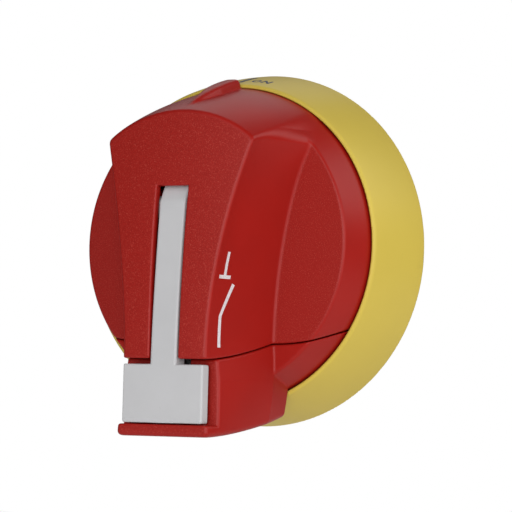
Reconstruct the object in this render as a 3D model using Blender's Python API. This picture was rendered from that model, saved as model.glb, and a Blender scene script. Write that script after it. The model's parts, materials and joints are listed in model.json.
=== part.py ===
"""Door handle of a rotary isolator switch: a red handle with a padlock lever on a yellow collar.

Metres, +Z up. The handle turns about the Y axis, which runs into the door. The origin is the centre of
the collar's back face, on the door. Depths are measured outwards from the door, so y = -depth.
"""

from math import atan2, ceil, cos, hypot, pi, radians, sin, sqrt

import bpy
import bmesh
from mathutils import Vector

MM = 0.001
GAP = 0.3 * MM  # between pieces that touch

# Collar
COLLAR_R = 47.5 * MM  # outer radius on the door
COLLAR_DEPTH = 20.8 * MM
COLLAR_FRONT_R = COLLAR_R - 4.4 * MM  # the skirt's taper
COLLAR_BULGE = 0.45 * MM  # how far the skirt stands proud of a straight cone
COLLAR_BORE_R = COLLAR_FRONT_R - 0.95 * MM  # the rim's width
COLLAR_WALL = 2.1 * MM
COLLAR_EDGE = 0.8 * MM
FLOOR_BACK = 3.0 * MM
FLOOR_FRONT = FLOOR_BACK + 3.0 * MM
GASKET_R = COLLAR_R - 3.8 * MM  # middle of the sealing ring
GASKET_WIDTH = 2.9 * MM
GASKET_THICKNESS = 1.8 * MM
INSERT_R = 2.9 * MM
INSERT_BORE_R = 1.65 * MM
INSERT_LENGTH = 8.0 * MM
BOSS_WALL = 1.5 * MM
BOSS_FRONT = INSERT_LENGTH + 3.0 * MM
RIB_COUNT = 6
RIB_THICKNESS = 1.4 * MM

# Drive hub, and the bearing that it turns in
HUB_R = 10.0 * MM
BEARING_R = HUB_R + GAP
BEARING_WALL = 3.7 * MM
HUB_SCREW_R = HUB_R + 3.0 * MM
HUB_FLANGE_R = HUB_SCREW_R + 3.3 * MM
HUB_FLANGE_THICKNESS = 3.4 * MM
HUB_BACK = -16.0 * MM
HUB_CHAMFER = 0.8 * MM
SOCKET_SIDE = 10.2 * MM
SOCKET_END = 9.0 * MM
SOCKET_FUNNEL = 1.4 * MM
RING_GROOVE_R = HUB_R - 1.6 * MM
O_RING_WIRE_R = 0.6 * MM
O_RING_DEPTH = 7.0 * MM
CLIP_GROOVE_R = HUB_R - 1.1 * MM
CLIP_OUTER_R = HUB_R + 2.4 * MM
CLIP_THICKNESS = 1.0 * MM
CLIP_OPENING = radians(20)  # half of the clip's gap
WASHER_OUTER_R = HUB_R + 3.6 * MM
WASHER_THICKNESS = 0.5 * MM

# Catch ring, fixed inside the collar, and the bolt that drops into it
BOLT_R = 2.5 * MM
BOLT_CLEARANCE = 0.3 * MM
CATCH_CLEARANCE = 0.5 * MM
CATCH_R = BOLT_R + CATCH_CLEARANCE
RING_INNER_R = HUB_FLANGE_R + 0.9 * MM
BOLT_ORBIT = RING_INNER_R + 1.3 * MM + CATCH_R  # distance of the bolt from the turning axis
RING_TRACK_R = BOLT_ORBIT + CATCH_R + 1.1 * MM
RING_SCREW_R = RING_TRACK_R + 2.8 * MM
RING_OUTER_R = RING_SCREW_R + 2.3 * MM
RING_FLANGE = 2.5 * MM
RING_FRONT = FLOOR_FRONT + 6.0 * MM
RING_STOP_INSET = 0.2 * MM
STOP_HALF_ANGLE = radians(6)
STOP_LUG_ANGLE = radians(270)  # where the handle's stop lug rests in ON
STOP_LUG_HALF_ANGLE = radians(7)
STOP_CLEARANCE = radians(1.2)
RING_SCREW_ANGLES = (radians(60), radians(140), radians(220))
TURN = radians(90)  # from ON to OFF, anticlockwise from the front
INSERT_PCD_R = RING_OUTER_R + 0.2 * MM + INSERT_R + GAP + BOSS_WALL

# Handle: disc
DISC_GAP = 0.4 * MM  # to the collar's bore
DISC_R = COLLAR_BORE_R - DISC_GAP
DISC_FACE = COLLAR_DEPTH + 8.35 * MM
DISC_FACE_R = DISC_R - 3.05 * MM
SHELL_WALL = 2.3 * MM
PLATE_BACK = RING_FRONT + 2.5 * MM
PLATE_FRONT = PLATE_BACK + 2.5 * MM
BEARING_FRONT = PLATE_BACK - GAP - HUB_FLANGE_THICKNESS - 0.8 * MM

# Handle: grip
GRIP_FRONT = 53.1 * MM  # depth of the front face's side edge at the waist
GRIP_FRONT_DROP = 5.05 * MM  # how much less it is at the top corner
GRIP_FRONT_R = 33.83 * MM  # radius of the front face's arched top edge
GRIP_CORNER_ANGLE = radians(50)
GRIP_FOOT_ANGLE = radians(42.8)
WAIST_Z = -31.0 * MM
WAIST_HALF_WIDTH = 12.26 * MM
FOOT_WAIST_Z = -26.0 * MM
FOOT_WAIST_HALF_WIDTH = 18.63 * MM
FACE_CURVE = 3.5  # 1/m: the front face falls by this times x squared
CROWN_FADE = 14 * MM  # how far below the waist the front face becomes flat
TOP_BULGE = 0.6 * MM
SADDLE_TURN = 2.0 * MM  # how far the wall's foot turns in above the foot's end
FLANK_SWELL = 2.75 * MM
FLANK_TUCK = 4.6 * MM
LIP_FRONT = GRIP_FRONT + 0.3 * MM
LIP_TOP_Z = -47.45 * MM
LIP_BOTTOM_Z = LIP_TOP_Z - 3.15 * MM
BLOCK_BACK = COLLAR_DEPTH + 0.4 * MM
BLOCK_BACK_Z = -44.8 * MM
TRAY_FRONT = LIP_FRONT - 4.4 * MM

# Seam between cover and base
SEAM_GAP = 0.3 * MM
SEAM_FRONT_Z = -30.8 * MM
SEAM_FOOT_Z = -26.05 * MM
SEAM_RIM_Z = -24.5 * MM
SEAM_RISE = 8.7  # 1/m: how the seam climbs across the disc

# Padlock lever and its slot
LEVER_HALF_THICKNESS = 3.85 * MM
SLOT_TOP_Z = 13.9 * MM
SLOT_TOP_HALF_WIDTH = LEVER_HALF_THICKNESS + 0.78 * MM
SLOT_BOTTOM_HALF_WIDTH = LEVER_HALF_THICKNESS + 0.4 * MM
PIVOT_Z = SLOT_TOP_Z - 5.3 * MM
PIVOT_DEPTH = GRIP_FRONT - 6.6 * MM
LEVER_HUB_R = 4.7 * MM
LEVER_HEAD_FRONT = GRIP_FRONT + 0.6 * MM
LEVER_STEM_FRONT = GRIP_FRONT - 1.9 * MM  # at the pivot's height
LEVER_STEM_THICKNESS = 4.6 * MM
HEAD_HALF_WIDTH = WAIST_HALF_WIDTH - 0.41 * MM
HEAD_TOP_Z = SEAM_FRONT_Z - 1.27 * MM
HEAD_BOTTOM_Z = LIP_TOP_Z + 0.35 * MM
HEAD_THICKNESS = 3.4 * MM
SHACKLE_TOP_Z = -20.5 * MM
SHACKLE_BOTTOM_Z = HEAD_BOTTOM_Z + 2.9 * MM
SHACKLE_BACK_TOP = GRIP_FRONT - 13.7 * MM
SHACKLE_BACK_BOTTOM = GRIP_FRONT - 17.1 * MM
WEB_BACK_MARGIN = 3.2 * MM
WEB_CLEARANCE = 1.55 * MM  # beside the lever, in the base's slot
ARM_CLEARANCE = 0.4 * MM  # between the lever's upper end and the cover
PIN_R = 1.4 * MM
SLEEVE_WALL = 1.3 * MM
CHEEK_INNER_X = LEVER_HALF_THICKNESS + 2.55 * MM
CHEEK_OUTER_X = CHEEK_INNER_X + 2.4 * MM
CHEEK_HALF_HEIGHT = 4.5 * MM
CHEEK_BACK = PIVOT_DEPTH - 6.0 * MM
TOE_DEPTH = PIVOT_DEPTH - 3.5 * MM
TOE_R = 1.9 * MM

# Locking bolt
BOLT_TIP = RING_FRONT + 1.0 * MM
BOLT_CHAMFER = 0.5 * MM
BOLT_HEAD_R = BOLT_R + 1.9 * MM
BOLT_HEAD_THICKNESS = 2.0 * MM
GUIDE_WALL = 1.9 * MM
GUIDE_FRONT = 24.0 * MM
BOLT_SPRING_WIRE_R = 0.35 * MM
BOLT_SPRING_TURNS = 6
LEVER_SPRING_WIRE_R = 0.3 * MM
LEVER_SPRING_TURNS = 1.5

# Screws
SCREW_R = 1.45 * MM
SCREW_HEAD_R = 2.5 * MM
SCREW_HEAD_HEIGHT = 1.8 * MM
COVER_SCREW_PLACES = ((31.0, 6.0), (-31.0, 6.0), (25.0, -16.5), (-25.0, -16.5))  # mm
COVER_SCREW_LENGTH = 10.5 * MM
COVER_BOSS_WALL = 2.2 * MM
HUB_SCREW_LENGTH = 9.0 * MM
HUB_SCREW_TIP = PLATE_BACK - GAP - HUB_FLANGE_THICKNESS + SCREW_HEAD_HEIGHT + HUB_SCREW_LENGTH
SCREW_BOSS_WALL = 2.0 * MM
SCREW_POINT = 0.8 * MM
RECESS_DEPTH = 1.0 * MM
COUNTERSINK_EDGE = 0.6 * MM
RING_SCREW_LENGTH = 4.6 * MM

# Pointer fin on the grip's top
FIN_FRONT = GRIP_FRONT - 8.5 * MM
FIN_HEIGHT = 2.8 * MM
FIN_HALF_WIDTH = 2.4 * MM

ROUND = 64  # sides of a large circle
MIDDLE_ROUND = 40
SMALL_ROUND = 16
SMALL_TURN = radians(2)  # small circles start off the large ones' corners
BEYOND = 1.0 * MM  # how far a cutter runs past the face it cuts

RED = (0.38, 0.017, 0.012)
YELLOW = (0.62, 0.48, 0.08)
GREY = (0.56, 0.56, 0.57)
DARK = (0.03, 0.03, 0.032)
STEEL = (0.55, 0.55, 0.56)
BRASS = (0.60, 0.42, 0.16)


# ---- general shapes ----


def material(name, colour, roughness, metallic=0.0):
    made = bpy.data.materials.get(name)
    if made is None:
        made = bpy.data.materials.new(name)
        made.use_nodes = True
        shader = made.node_tree.nodes["Principled BSDF"]
        shader.inputs["Base Color"].default_value = (*colour, 1.0)
        shader.inputs["Roughness"].default_value = roughness
        shader.inputs["Metallic"].default_value = metallic
    return made


def solid(name, points, faces, finish=None, parent=None):
    """A closed mesh object from world points and faces, with its normals made to point out."""
    origin = parent.location if parent else Vector()
    mesh = bpy.data.meshes.new(name)
    mesh.from_pydata([Vector(point) - origin for point in points], [], faces)
    shape = bmesh.new()
    shape.from_mesh(mesh)
    bmesh.ops.recalc_face_normals(shape, faces=shape.faces)
    if shape.calc_volume(signed=True) < 0:
        bmesh.ops.reverse_faces(shape, faces=shape.faces)
    shape.to_mesh(mesh)
    shape.free()
    mesh.shade_smooth()
    mesh.set_sharp_from_angle(angle=radians(30))
    made = bpy.data.objects.new(name, mesh)
    bpy.context.scene.collection.objects.link(made)
    if parent:
        made.parent = parent
    if finish:
        mesh.materials.append(finish)
    else:
        made.hide_render = True
        made.display_type = "WIRE"
    return made


def lathe(name, outline, finish=None, parent=None, sides=ROUND, centre=(0, 0)):
    """Turns (radius, depth) points about a line along Y through centre; a radius of 0 makes a pole."""
    points, rings, faces = [], [], []
    turn = 0 if sides == ROUND else SMALL_TURN
    for radius, depth in outline:
        if radius == 0:
            rings.append([len(points)] * sides)
            points.append((centre[0], -depth, centre[1]))
            continue
        rings.append(list(range(len(points), len(points) + sides)))
        for i in range(sides):
            angle = turn + 2 * pi * i / sides
            x, z = centre[0] + radius * cos(angle), centre[1] + radius * sin(angle)
            points.append((x, -depth, z))
    pairs = list(zip(rings, rings[1:]))
    if outline[0][0] and outline[-1][0]:
        pairs.append((rings[-1], rings[0]))
    for low, high in pairs:
        for i in range(sides):
            j = (i + 1) % sides
            corners = dict.fromkeys((low[i], low[j], high[j], high[i]))
            if len(corners) > 2:
                faces.append(list(corners))
    return solid(name, points, faces, finish, parent)


def rod(name, radius, back, front, centre, finish=None, parent=None, sides=SMALL_ROUND):
    """A cylinder along Y between two depths."""
    outline = [(0, back), (radius, back), (radius, front), (0, front)]
    return lathe(name, outline, finish, parent, sides, centre)


def prism(name, outline, low, high, place, finish=None, parent=None):
    """An outline pushed from low to high; place(u, v, w) turns them into a point."""
    points = [place(u, v, w) for w in (low, high) for u, v in outline]
    count = len(outline)
    faces = [list(range(count)), list(range(count, 2 * count))]
    for i in range(count):
        j = (i + 1) % count
        faces.append([i, j, j + count, i + count])
    return solid(name, points, faces, finish, parent)


def along_x(depth, z, x):
    return (x, -depth, z)


def along_y(x, z, depth):
    return (x, -depth, z)


def box(name, x, depth, z, finish=None, parent=None):
    """A box from three pairs of limits."""
    outline = [(x[0], z[0]), (x[1], z[0]), (x[1], z[1]), (x[0], z[1])]
    return prism(name, outline, depth[0], depth[1], along_y, finish, parent)


def cross_rod(name, radius, low, high, depth, z, finish=None, parent=None, sides=SMALL_ROUND):
    """A cylinder along X."""
    outline = arc((depth, z), radius, 0, 2 * pi, sides)[:-1]
    return prism(name, outline, low, high, along_x, finish, parent)


def arc(centre, radius, start, end, steps):
    turns = [start + (end - start) * i / steps for i in range(steps + 1)]
    return [(centre[0] + radius * cos(a), centre[1] + radius * sin(a)) for a in turns]


def loft(name, rings, finish=None, parent=None):
    """A closed solid through rings of equally many points."""
    points = [point for ring in rings for point in ring]
    count = len(rings[0])
    faces = [list(range(count)), list(range(len(points) - count, len(points)))]
    for level in range(len(rings) - 1):
        for i in range(count):
            j = (i + 1) % count
            low, high = level * count, (level + 1) * count
            faces.append([low + i, low + j, high + j, high + i])
    return solid(name, points, faces, finish, parent)


def coil(name, centre, radius, wire, start, end, turns, axis, finish, parent=None, steps=12, sides=6):
    """A helical spring as one swept tube, from start to end along axis."""
    along = Vector(axis)
    across = Vector((0, 0, 1))
    third = along.cross(across)
    total = ceil(turns * steps)
    points, faces = [], []
    for i in range(total + 1):
        share = i / total
        angle = 2 * pi * turns * share
        outwards = across * cos(angle) + third * sin(angle)
        middle = Vector(centre) + along * (start + (end - start) * share) + outwards * radius
        for k in range(sides):
            round_wire = 2 * pi * k / sides
            points.append(middle + (outwards * cos(round_wire) + along * sin(round_wire)) * wire)
    for i in range(total):
        for k in range(sides):
            m = (k + 1) % sides
            low, high = i * sides, (i + 1) * sides
            faces.append([low + k, low + m, high + m, high + k])
    faces.append(list(range(sides)))
    faces.append(list(range(total * sides, (total + 1) * sides)))
    return solid(name, points, faces, finish, parent)


# The exact solver leaves slivers on these, whose cutters cross many of their faces.
MANY_CUTS = ("collar", "handle_cover", "handle_base")


def boolean(target, operation, *others):
    for other in others:
        step = target.modifiers.new(other.name, "BOOLEAN")
        step.operation = operation
        step.object = other
        step.solver = "MANIFOLD" if target.name in MANY_CUTS else "EXACT"


def cut(target, *cutters):
    boolean(target, "DIFFERENCE", *cutters)


def join(target, *others):
    boolean(target, "UNION", *others)


def keep(target, *limits):
    boolean(target, "INTERSECT", *limits)


def pivot(name, x, depth, z):
    """An empty on a joint's axis, which the moving pieces hang from."""
    made = bpy.data.objects.new(name, None)
    made.location = (x, -depth, z)
    made.empty_display_size = 5 * MM
    bpy.context.scene.collection.objects.link(made)
    return made


# ---- the grip's surfaces ----

TOP_BACK_R = COLLAR_BORE_R - GAP / 2  # the arched top's radius where it meets the collar
CORNER_X = GRIP_FRONT_R * cos(GRIP_CORNER_ANGLE)
CORNER_Z = GRIP_FRONT_R * sin(GRIP_CORNER_ANGLE)
CORNER_DEPTH = GRIP_FRONT - GRIP_FRONT_DROP
FOOT_X = DISC_FACE_R * cos(GRIP_FOOT_ANGLE)
FOOT_Z = DISC_FACE_R * sin(GRIP_FOOT_ANGLE)


def front_half_width(z):
    """Half width of the front face at height z."""
    if z < WAIST_Z:
        return WAIST_HALF_WIDTH + 0.058 * (WAIST_Z - z)
    share = (z - WAIST_Z) / (CORNER_Z - WAIST_Z)
    return WAIST_HALF_WIDTH + (CORNER_X - WAIST_HALF_WIDTH) * share**1.82


def front_edge_depth(z):
    """Depth of the front face's side edge at height z."""
    if z < WAIST_Z:
        return GRIP_FRONT + 0.018 * (WAIST_Z - z)
    return GRIP_FRONT - GRIP_FRONT_DROP * ((z - WAIST_Z) / (CORNER_Z - WAIST_Z)) ** 2.3


def front_depth(x, z):
    """Depth of the front face, whose slight crown fades out below the waist."""
    fade = min(1, max(0, 1 - (WAIST_Z - z) / CROWN_FADE))
    return front_edge_depth(z) + fade * FACE_CURVE * (front_half_width(z) ** 2 - x * x)


def block_share(z):
    return (FOOT_WAIST_Z - z) / (FOOT_WAIST_Z - LIP_BOTTOM_Z)


def foot_half_width(z):
    """Half width of the side wall where it meets the disc's face."""
    if z < FOOT_WAIST_Z:
        share = block_share(z)
        return FOOT_WAIST_HALF_WIDTH + FLANK_SWELL * share - FLANK_TUCK * share**2
    if z > FOOT_Z:
        return FOOT_X - min(SADDLE_TURN, 180 * (z - FOOT_Z) ** 2)
    share = (z - FOOT_WAIST_Z) / (FOOT_Z - FOOT_WAIST_Z)
    return FOOT_WAIST_HALF_WIDTH + (FOOT_X - FOOT_WAIST_HALF_WIDTH) * (0.84 * share**2 + 0.16 * share**8)


def rim_half_width(z):
    """Half width of the side wall at the collar's front."""
    if z < FOOT_WAIST_Z:
        return foot_half_width(z) + 0.6 * MM * max(0, 1 - block_share(z)) ** 2
    if z > FOOT_Z:
        return FOOT_X + 0.46 * MM
    share = (z - FOOT_WAIST_Z) / (FOOT_Z - FOOT_WAIST_Z)
    return foot_half_width(z) + (0.6 - 0.14 * share) * MM


def wall_hollow(z):
    """How hollow the side wall is: 1 is straight, more is hollow, less is full."""
    if z < WAIST_Z:
        return max(0.85, 1 - 0.03 * (WAIST_Z - z) / MM)
    return 1 + 0.75 * min(1, (z - WAIST_Z) / (25 * MM))


def wall_half_width(depth, z):
    front = front_edge_depth(z)
    foot = foot_half_width(z)
    if depth < DISC_FACE:
        share = (DISC_FACE - depth) / (DISC_FACE - COLLAR_DEPTH)
        return foot + (rim_half_width(z) - foot) * min(share, 1)
    share = (front - depth) / (front - DISC_FACE)
    start = front_half_width(z)
    return start + (foot - start) * share ** wall_hollow(z)


def top_radius(depth):
    """Radius of the arched top, which is turned about the handle's axis."""
    share = (depth - COLLAR_DEPTH) / (CORNER_DEPTH - COLLAR_DEPTH)
    return TOP_BACK_R + (GRIP_FRONT_R - TOP_BACK_R) * share + TOP_BULGE * 4 * share * (1 - share)


def block_bottom_z(depth):
    share = (LIP_FRONT - depth) / (LIP_FRONT - COLLAR_DEPTH)
    return LIP_BOTTOM_Z + (BLOCK_BACK_Z - LIP_BOTTOM_Z) * max(share, 0) ** 1.6


def seam_z(x, depth):
    """Height of the seam: nearly level at the front, then climbing towards the collar and over the disc."""
    if depth > DISC_FACE:
        share = (GRIP_FRONT - depth) / (GRIP_FRONT - DISC_FACE)
        height = SEAM_FRONT_Z + (SEAM_FOOT_Z - SEAM_FRONT_Z) * max(share, 0) ** 1.55
    else:
        share = (DISC_FACE - depth) / (DISC_FACE - COLLAR_DEPTH)
        height = SEAM_FOOT_Z + (SEAM_RIM_Z - SEAM_FOOT_Z) * share
    return height + SEAM_RISE * max(abs(x) - FOOT_WAIST_HALF_WIDTH, 0) ** 2


def grip_levels():
    """Heights at which the grip is drawn, closer where its outline turns."""
    upper = [WAIST_Z + (FOOT_Z - WAIST_Z) * i / 10 for i in range(11)]
    crown = [FOOT_Z + (TOP_BACK_R + BEYOND - FOOT_Z) * s for s in (0.1, 0.25, 0.5, 1)]
    block = [LIP_BOTTOM_Z - BEYOND + (WAIST_Z - LIP_BOTTOM_Z + BEYOND) * i / 5 for i in range(5)]
    return block + upper + crown


def grip_ring(z, back, inset):
    """The grip's section at height z, from its back edge round the front to the other back edge."""
    front = front_edge_depth(z) - inset
    half = []
    rear_steps = [back + (DISC_FACE - back) * i / 2 for i in range(2)]
    wall_steps = [DISC_FACE + (front - DISC_FACE) * (i / 6) for i in range(7)]
    for depth in rear_steps + wall_steps:
        half.append((wall_half_width(depth, z) - inset, depth))
    edge = half[-1][0]
    for i in range(1, 4):
        x = edge * (1 - i / 4)
        half.append((x, front_depth(x, z) - inset))
    middle = [(0, front_depth(0, z) - inset)]
    mirrored = [(-x, depth) for x, depth in reversed(half)]
    return [(x, -depth, z) for x, depth in half + middle + mirrored]


def grip_solid(name, back, inset, finish=None, parent=None):
    return loft(name, [grip_ring(z, back, inset) for z in grip_levels()], finish, parent)


def top_solid(name, inset, back):
    """What lies under the arched top, and everything below the handle's axis."""
    front = GRIP_FRONT + 4 * MM
    depths = [back] + [COLLAR_DEPTH + (front - COLLAR_DEPTH) * i / 8 for i in range(9)]
    outline = [(0, back)] + [(top_radius(max(d, COLLAR_DEPTH)) - inset, d) for d in depths] + [(0, front)]
    arched = lathe(name, outline)
    far = COLLAR_R + 10 * MM
    join(arched, box(f"{name}_below", (-far, far), (back - BEYOND, front + BEYOND), (-far, -GAP)))
    return arched


def seam_side(name, above, offset, back, front):
    """The half space above or below the seam, moved by offset, as a solid between two depths."""
    far = COLLAR_R + 15 * MM
    columns = [far * (i / 8 - 1) for i in range(17)]
    rows = [back + (front - back) * i / 10 for i in range(11)]
    end = far if above else -far
    rings = []
    for depth in rows:
        edge = [(x, -depth, seam_z(x, depth) + offset) for x in columns]
        rings.append(edge + [(far, -depth, end), (-far, -depth, end)])
    return loft(name, rings)


def disc_outline(inset, back, front):
    """The disc's turned outline: rim, cone and face."""
    return [
        (0, back),
        (DISC_R - inset, back),
        (DISC_R - inset, COLLAR_DEPTH),
        (DISC_FACE_R - inset * 0.9, front),
        (0, front),
    ]


# ---- fixed pieces ----


def skirt_radius(depth):
    share = depth / COLLAR_DEPTH
    return COLLAR_R + (COLLAR_FRONT_R - COLLAR_R) * share + COLLAR_BULGE * 4 * share * (1 - share)


def around(radius, angles):
    return [(radius * cos(angle), radius * sin(angle)) for angle in angles]


def insert_centres():
    return around(INSERT_PCD_R, [pi / 4 + pi / 2 * i for i in range(4)])


def make_collar():
    plastic = material("yellow_plastic", YELLOW, 0.42)
    groove_inner = GASKET_R - GASKET_WIDTH / 2 - GAP
    groove_outer = GASKET_R + GASKET_WIDTH / 2 + GAP
    skirt = [(skirt_radius(COLLAR_DEPTH * i / 4), COLLAR_DEPTH * i / 4) for i in range(4)]
    edge_r = skirt_radius(COLLAR_DEPTH - COLLAR_EDGE) - COLLAR_EDGE
    edge = arc((edge_r, COLLAR_DEPTH - COLLAR_EDGE), COLLAR_EDGE, 0, pi / 2, 3)
    outline = skirt + edge
    outline += [
        (COLLAR_BORE_R, COLLAR_DEPTH),
        (COLLAR_BORE_R, FLOOR_FRONT),
        (BEARING_R + BEARING_WALL, FLOOR_FRONT),
        (BEARING_R + BEARING_WALL, BEARING_FRONT),
        (BEARING_R, BEARING_FRONT),
        (BEARING_R, FLOOR_BACK),
        (groove_inner - COLLAR_WALL, FLOOR_BACK),
        (groove_inner - COLLAR_WALL, 0),
        (groove_inner, 0),
        (groove_inner, GASKET_THICKNESS + GAP),
        (groove_outer, GASKET_THICKNESS + GAP),
        (groove_outer, 0),
    ]
    collar = lathe("collar", outline, plastic)
    boss_r = INSERT_R + GAP + BOSS_WALL
    for i, centre in enumerate(insert_centres()):
        join(collar, rod(f"collar_boss_{i}", boss_r, GAP, BOSS_FRONT, centre))
    groove_edges = (-BEYOND, GASKET_THICKNESS + GAP)
    groove = [(r, d) for r in (groove_inner, groove_outer) for d in groove_edges]
    cut(collar, lathe("collar_groove", [groove[0], groove[1], groove[3], groove[2]]))
    for i in range(RIB_COUNT):
        angle = pi / RIB_COUNT + 2 * pi * i / RIB_COUNT
        rib = box(
            f"collar_rib_{i}",
            (BEARING_R + BEARING_WALL, groove_inner - COLLAR_WALL / 2),
            (GAP, FLOOR_BACK + BEYOND),
            (-RIB_THICKNESS / 2, RIB_THICKNESS / 2),
        )
        rib.rotation_euler = (0, angle, 0)
        join(collar, rib)
    pocket_end = INSERT_LENGTH + 3 * GAP
    for i, centre in enumerate(insert_centres()):
        cut(collar, rod(f"collar_pocket_{i}", INSERT_R + GAP, -BEYOND, pocket_end, centre))
    screw_boss_r = SCREW_R + SCREW_BOSS_WALL
    hole_back, hole_front = FLOOR_BACK - BEYOND, FLOOR_FRONT + BEYOND
    for i, centre in enumerate(around(RING_SCREW_R, RING_SCREW_ANGLES)):
        join(collar, rod(f"collar_screw_boss_{i}", screw_boss_r, 2 * GAP, FLOOR_BACK + BEYOND, centre))
        cut(collar, rod(f"collar_screw_hole_{i}", SCREW_R + GAP, hole_back, hole_front, centre))
    return collar


def make_gasket():
    rubber = material("black_rubber", DARK, 0.8)
    low, high = GASKET_R - GASKET_WIDTH / 2, GASKET_R + GASKET_WIDTH / 2
    return lathe(
        "door_gasket",
        [(low, 0), (low, GASKET_THICKNESS), (high, GASKET_THICKNESS), (high, 0)],
        rubber,
    )


def make_inserts():
    brass = material("brass", BRASS, 0.35, 1.0)
    back, front = 2 * GAP, 2 * GAP + INSERT_LENGTH - GAP
    for i, centre in enumerate(insert_centres()):
        outline = [(INSERT_BORE_R, back), (INSERT_BORE_R, front), (INSERT_R, front), (INSERT_R, back)]
        lathe(f"threaded_insert_{i + 1}", outline, brass, None, SMALL_ROUND, centre)


def ring_sector(name, inner, outer, middle, half_angle, back, front):
    """A block bounded by two radii and two angles."""
    outside = arc((0, 0), outer, middle - half_angle, middle + half_angle, 6)
    inside = arc((0, 0), inner, middle + half_angle, middle - half_angle, 6)
    return prism(name, outside + inside, back, front, along_y)


def make_catch_ring():
    plastic = material("black_nylon", DARK, 0.55)
    back = FLOOR_FRONT + GAP
    flange = back + RING_FLANGE
    ring = lathe(
        "catch_ring",
        [
            (RING_INNER_R, back),
            (RING_INNER_R, RING_FRONT),
            (RING_TRACK_R, RING_FRONT),
            (RING_TRACK_R, flange),
            (RING_OUTER_R, flange),
            (RING_OUTER_R, back),
        ],
        plastic,
    )
    reach = STOP_LUG_HALF_ANGLE + STOP_CLEARANCE + STOP_HALF_ANGLE
    for side, angle in (("on", STOP_LUG_ANGLE - reach), ("off", STOP_LUG_ANGLE + TURN + reach)):
        stop = ring_sector(
            f"ring_stop_{side}",
            RING_TRACK_R - BEYOND,
            RING_OUTER_R - RING_STOP_INSET,
            angle,
            STOP_HALF_ANGLE,
            flange - BEYOND,
            RING_FRONT - RING_STOP_INSET,
        )
        join(ring, stop)
    for i, centre in enumerate(around(BOLT_ORBIT, (pi / 2, pi / 2 + TURN))):
        catch = rod(f"ring_catch_{i}", CATCH_R, back - BEYOND, RING_FRONT + BEYOND, centre)
        cut(ring, catch)
    for i, centre in enumerate(around(RING_SCREW_R, RING_SCREW_ANGLES)):
        cut(ring, rod(f"ring_hole_{i}", SCREW_R + GAP, back - BEYOND, flange + BEYOND, centre))
    return ring


def screw(name, centre, head_back, towards_front, length, parent=None, countersunk=False):
    """A screw along Y with a cross-shaped or hexagonal recess; its head starts at head_back."""
    steel = material("zinc_steel", STEEL, 0.35, 1.0)
    way = 1 if towards_front else -1
    head = SCREW_HEAD_HEIGHT
    tip = head_back + way * (head + length)
    if countersunk:
        outline = [(0, head_back), (SCREW_HEAD_R, head_back), (SCREW_HEAD_R, head_back + way * 0.3 * MM)]
        outline += [(SCREW_R, head_back + way * (0.3 * MM + SCREW_HEAD_R - SCREW_R))]
    else:
        outline = [(0, head_back), (SCREW_HEAD_R * 0.75, head_back)]
        outline += [(SCREW_HEAD_R, head_back + way * 0.6 * MM), (SCREW_HEAD_R, head_back + way * head)]
        outline += [(SCREW_R, head_back + way * head)]
    outline += [(SCREW_R, tip - way * SCREW_POINT), (SCREW_R * 0.5, tip), (0, tip)]
    made = lathe(name, outline, steel, parent, SMALL_ROUND, centre)
    recess = arc(centre, SCREW_R * 0.85, 0, 2 * pi, 6)[:-1]
    low, high = sorted((head_back - way * BEYOND, head_back + way * RECESS_DEPTH))
    cut(made, prism(f"{name}_recess", recess, low, high, along_y, None, parent))
    return made


def make_ring_screws():
    head_front = FLOOR_FRONT + 2 * GAP + RING_FLANGE + SCREW_HEAD_HEIGHT
    for i, centre in enumerate(around(RING_SCREW_R, RING_SCREW_ANGLES)):
        screw(f"ring_screw_{i + 1}", centre, head_front, False, RING_SCREW_LENGTH)


# ---- pieces that turn with the handle ----


def cover_screw_centres():
    return [(x * MM, z * MM) for x, z in COVER_SCREW_PLACES]


def hub_screw_centres():
    return around(HUB_SCREW_R, (radians(30), radians(150), radians(270)))


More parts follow.
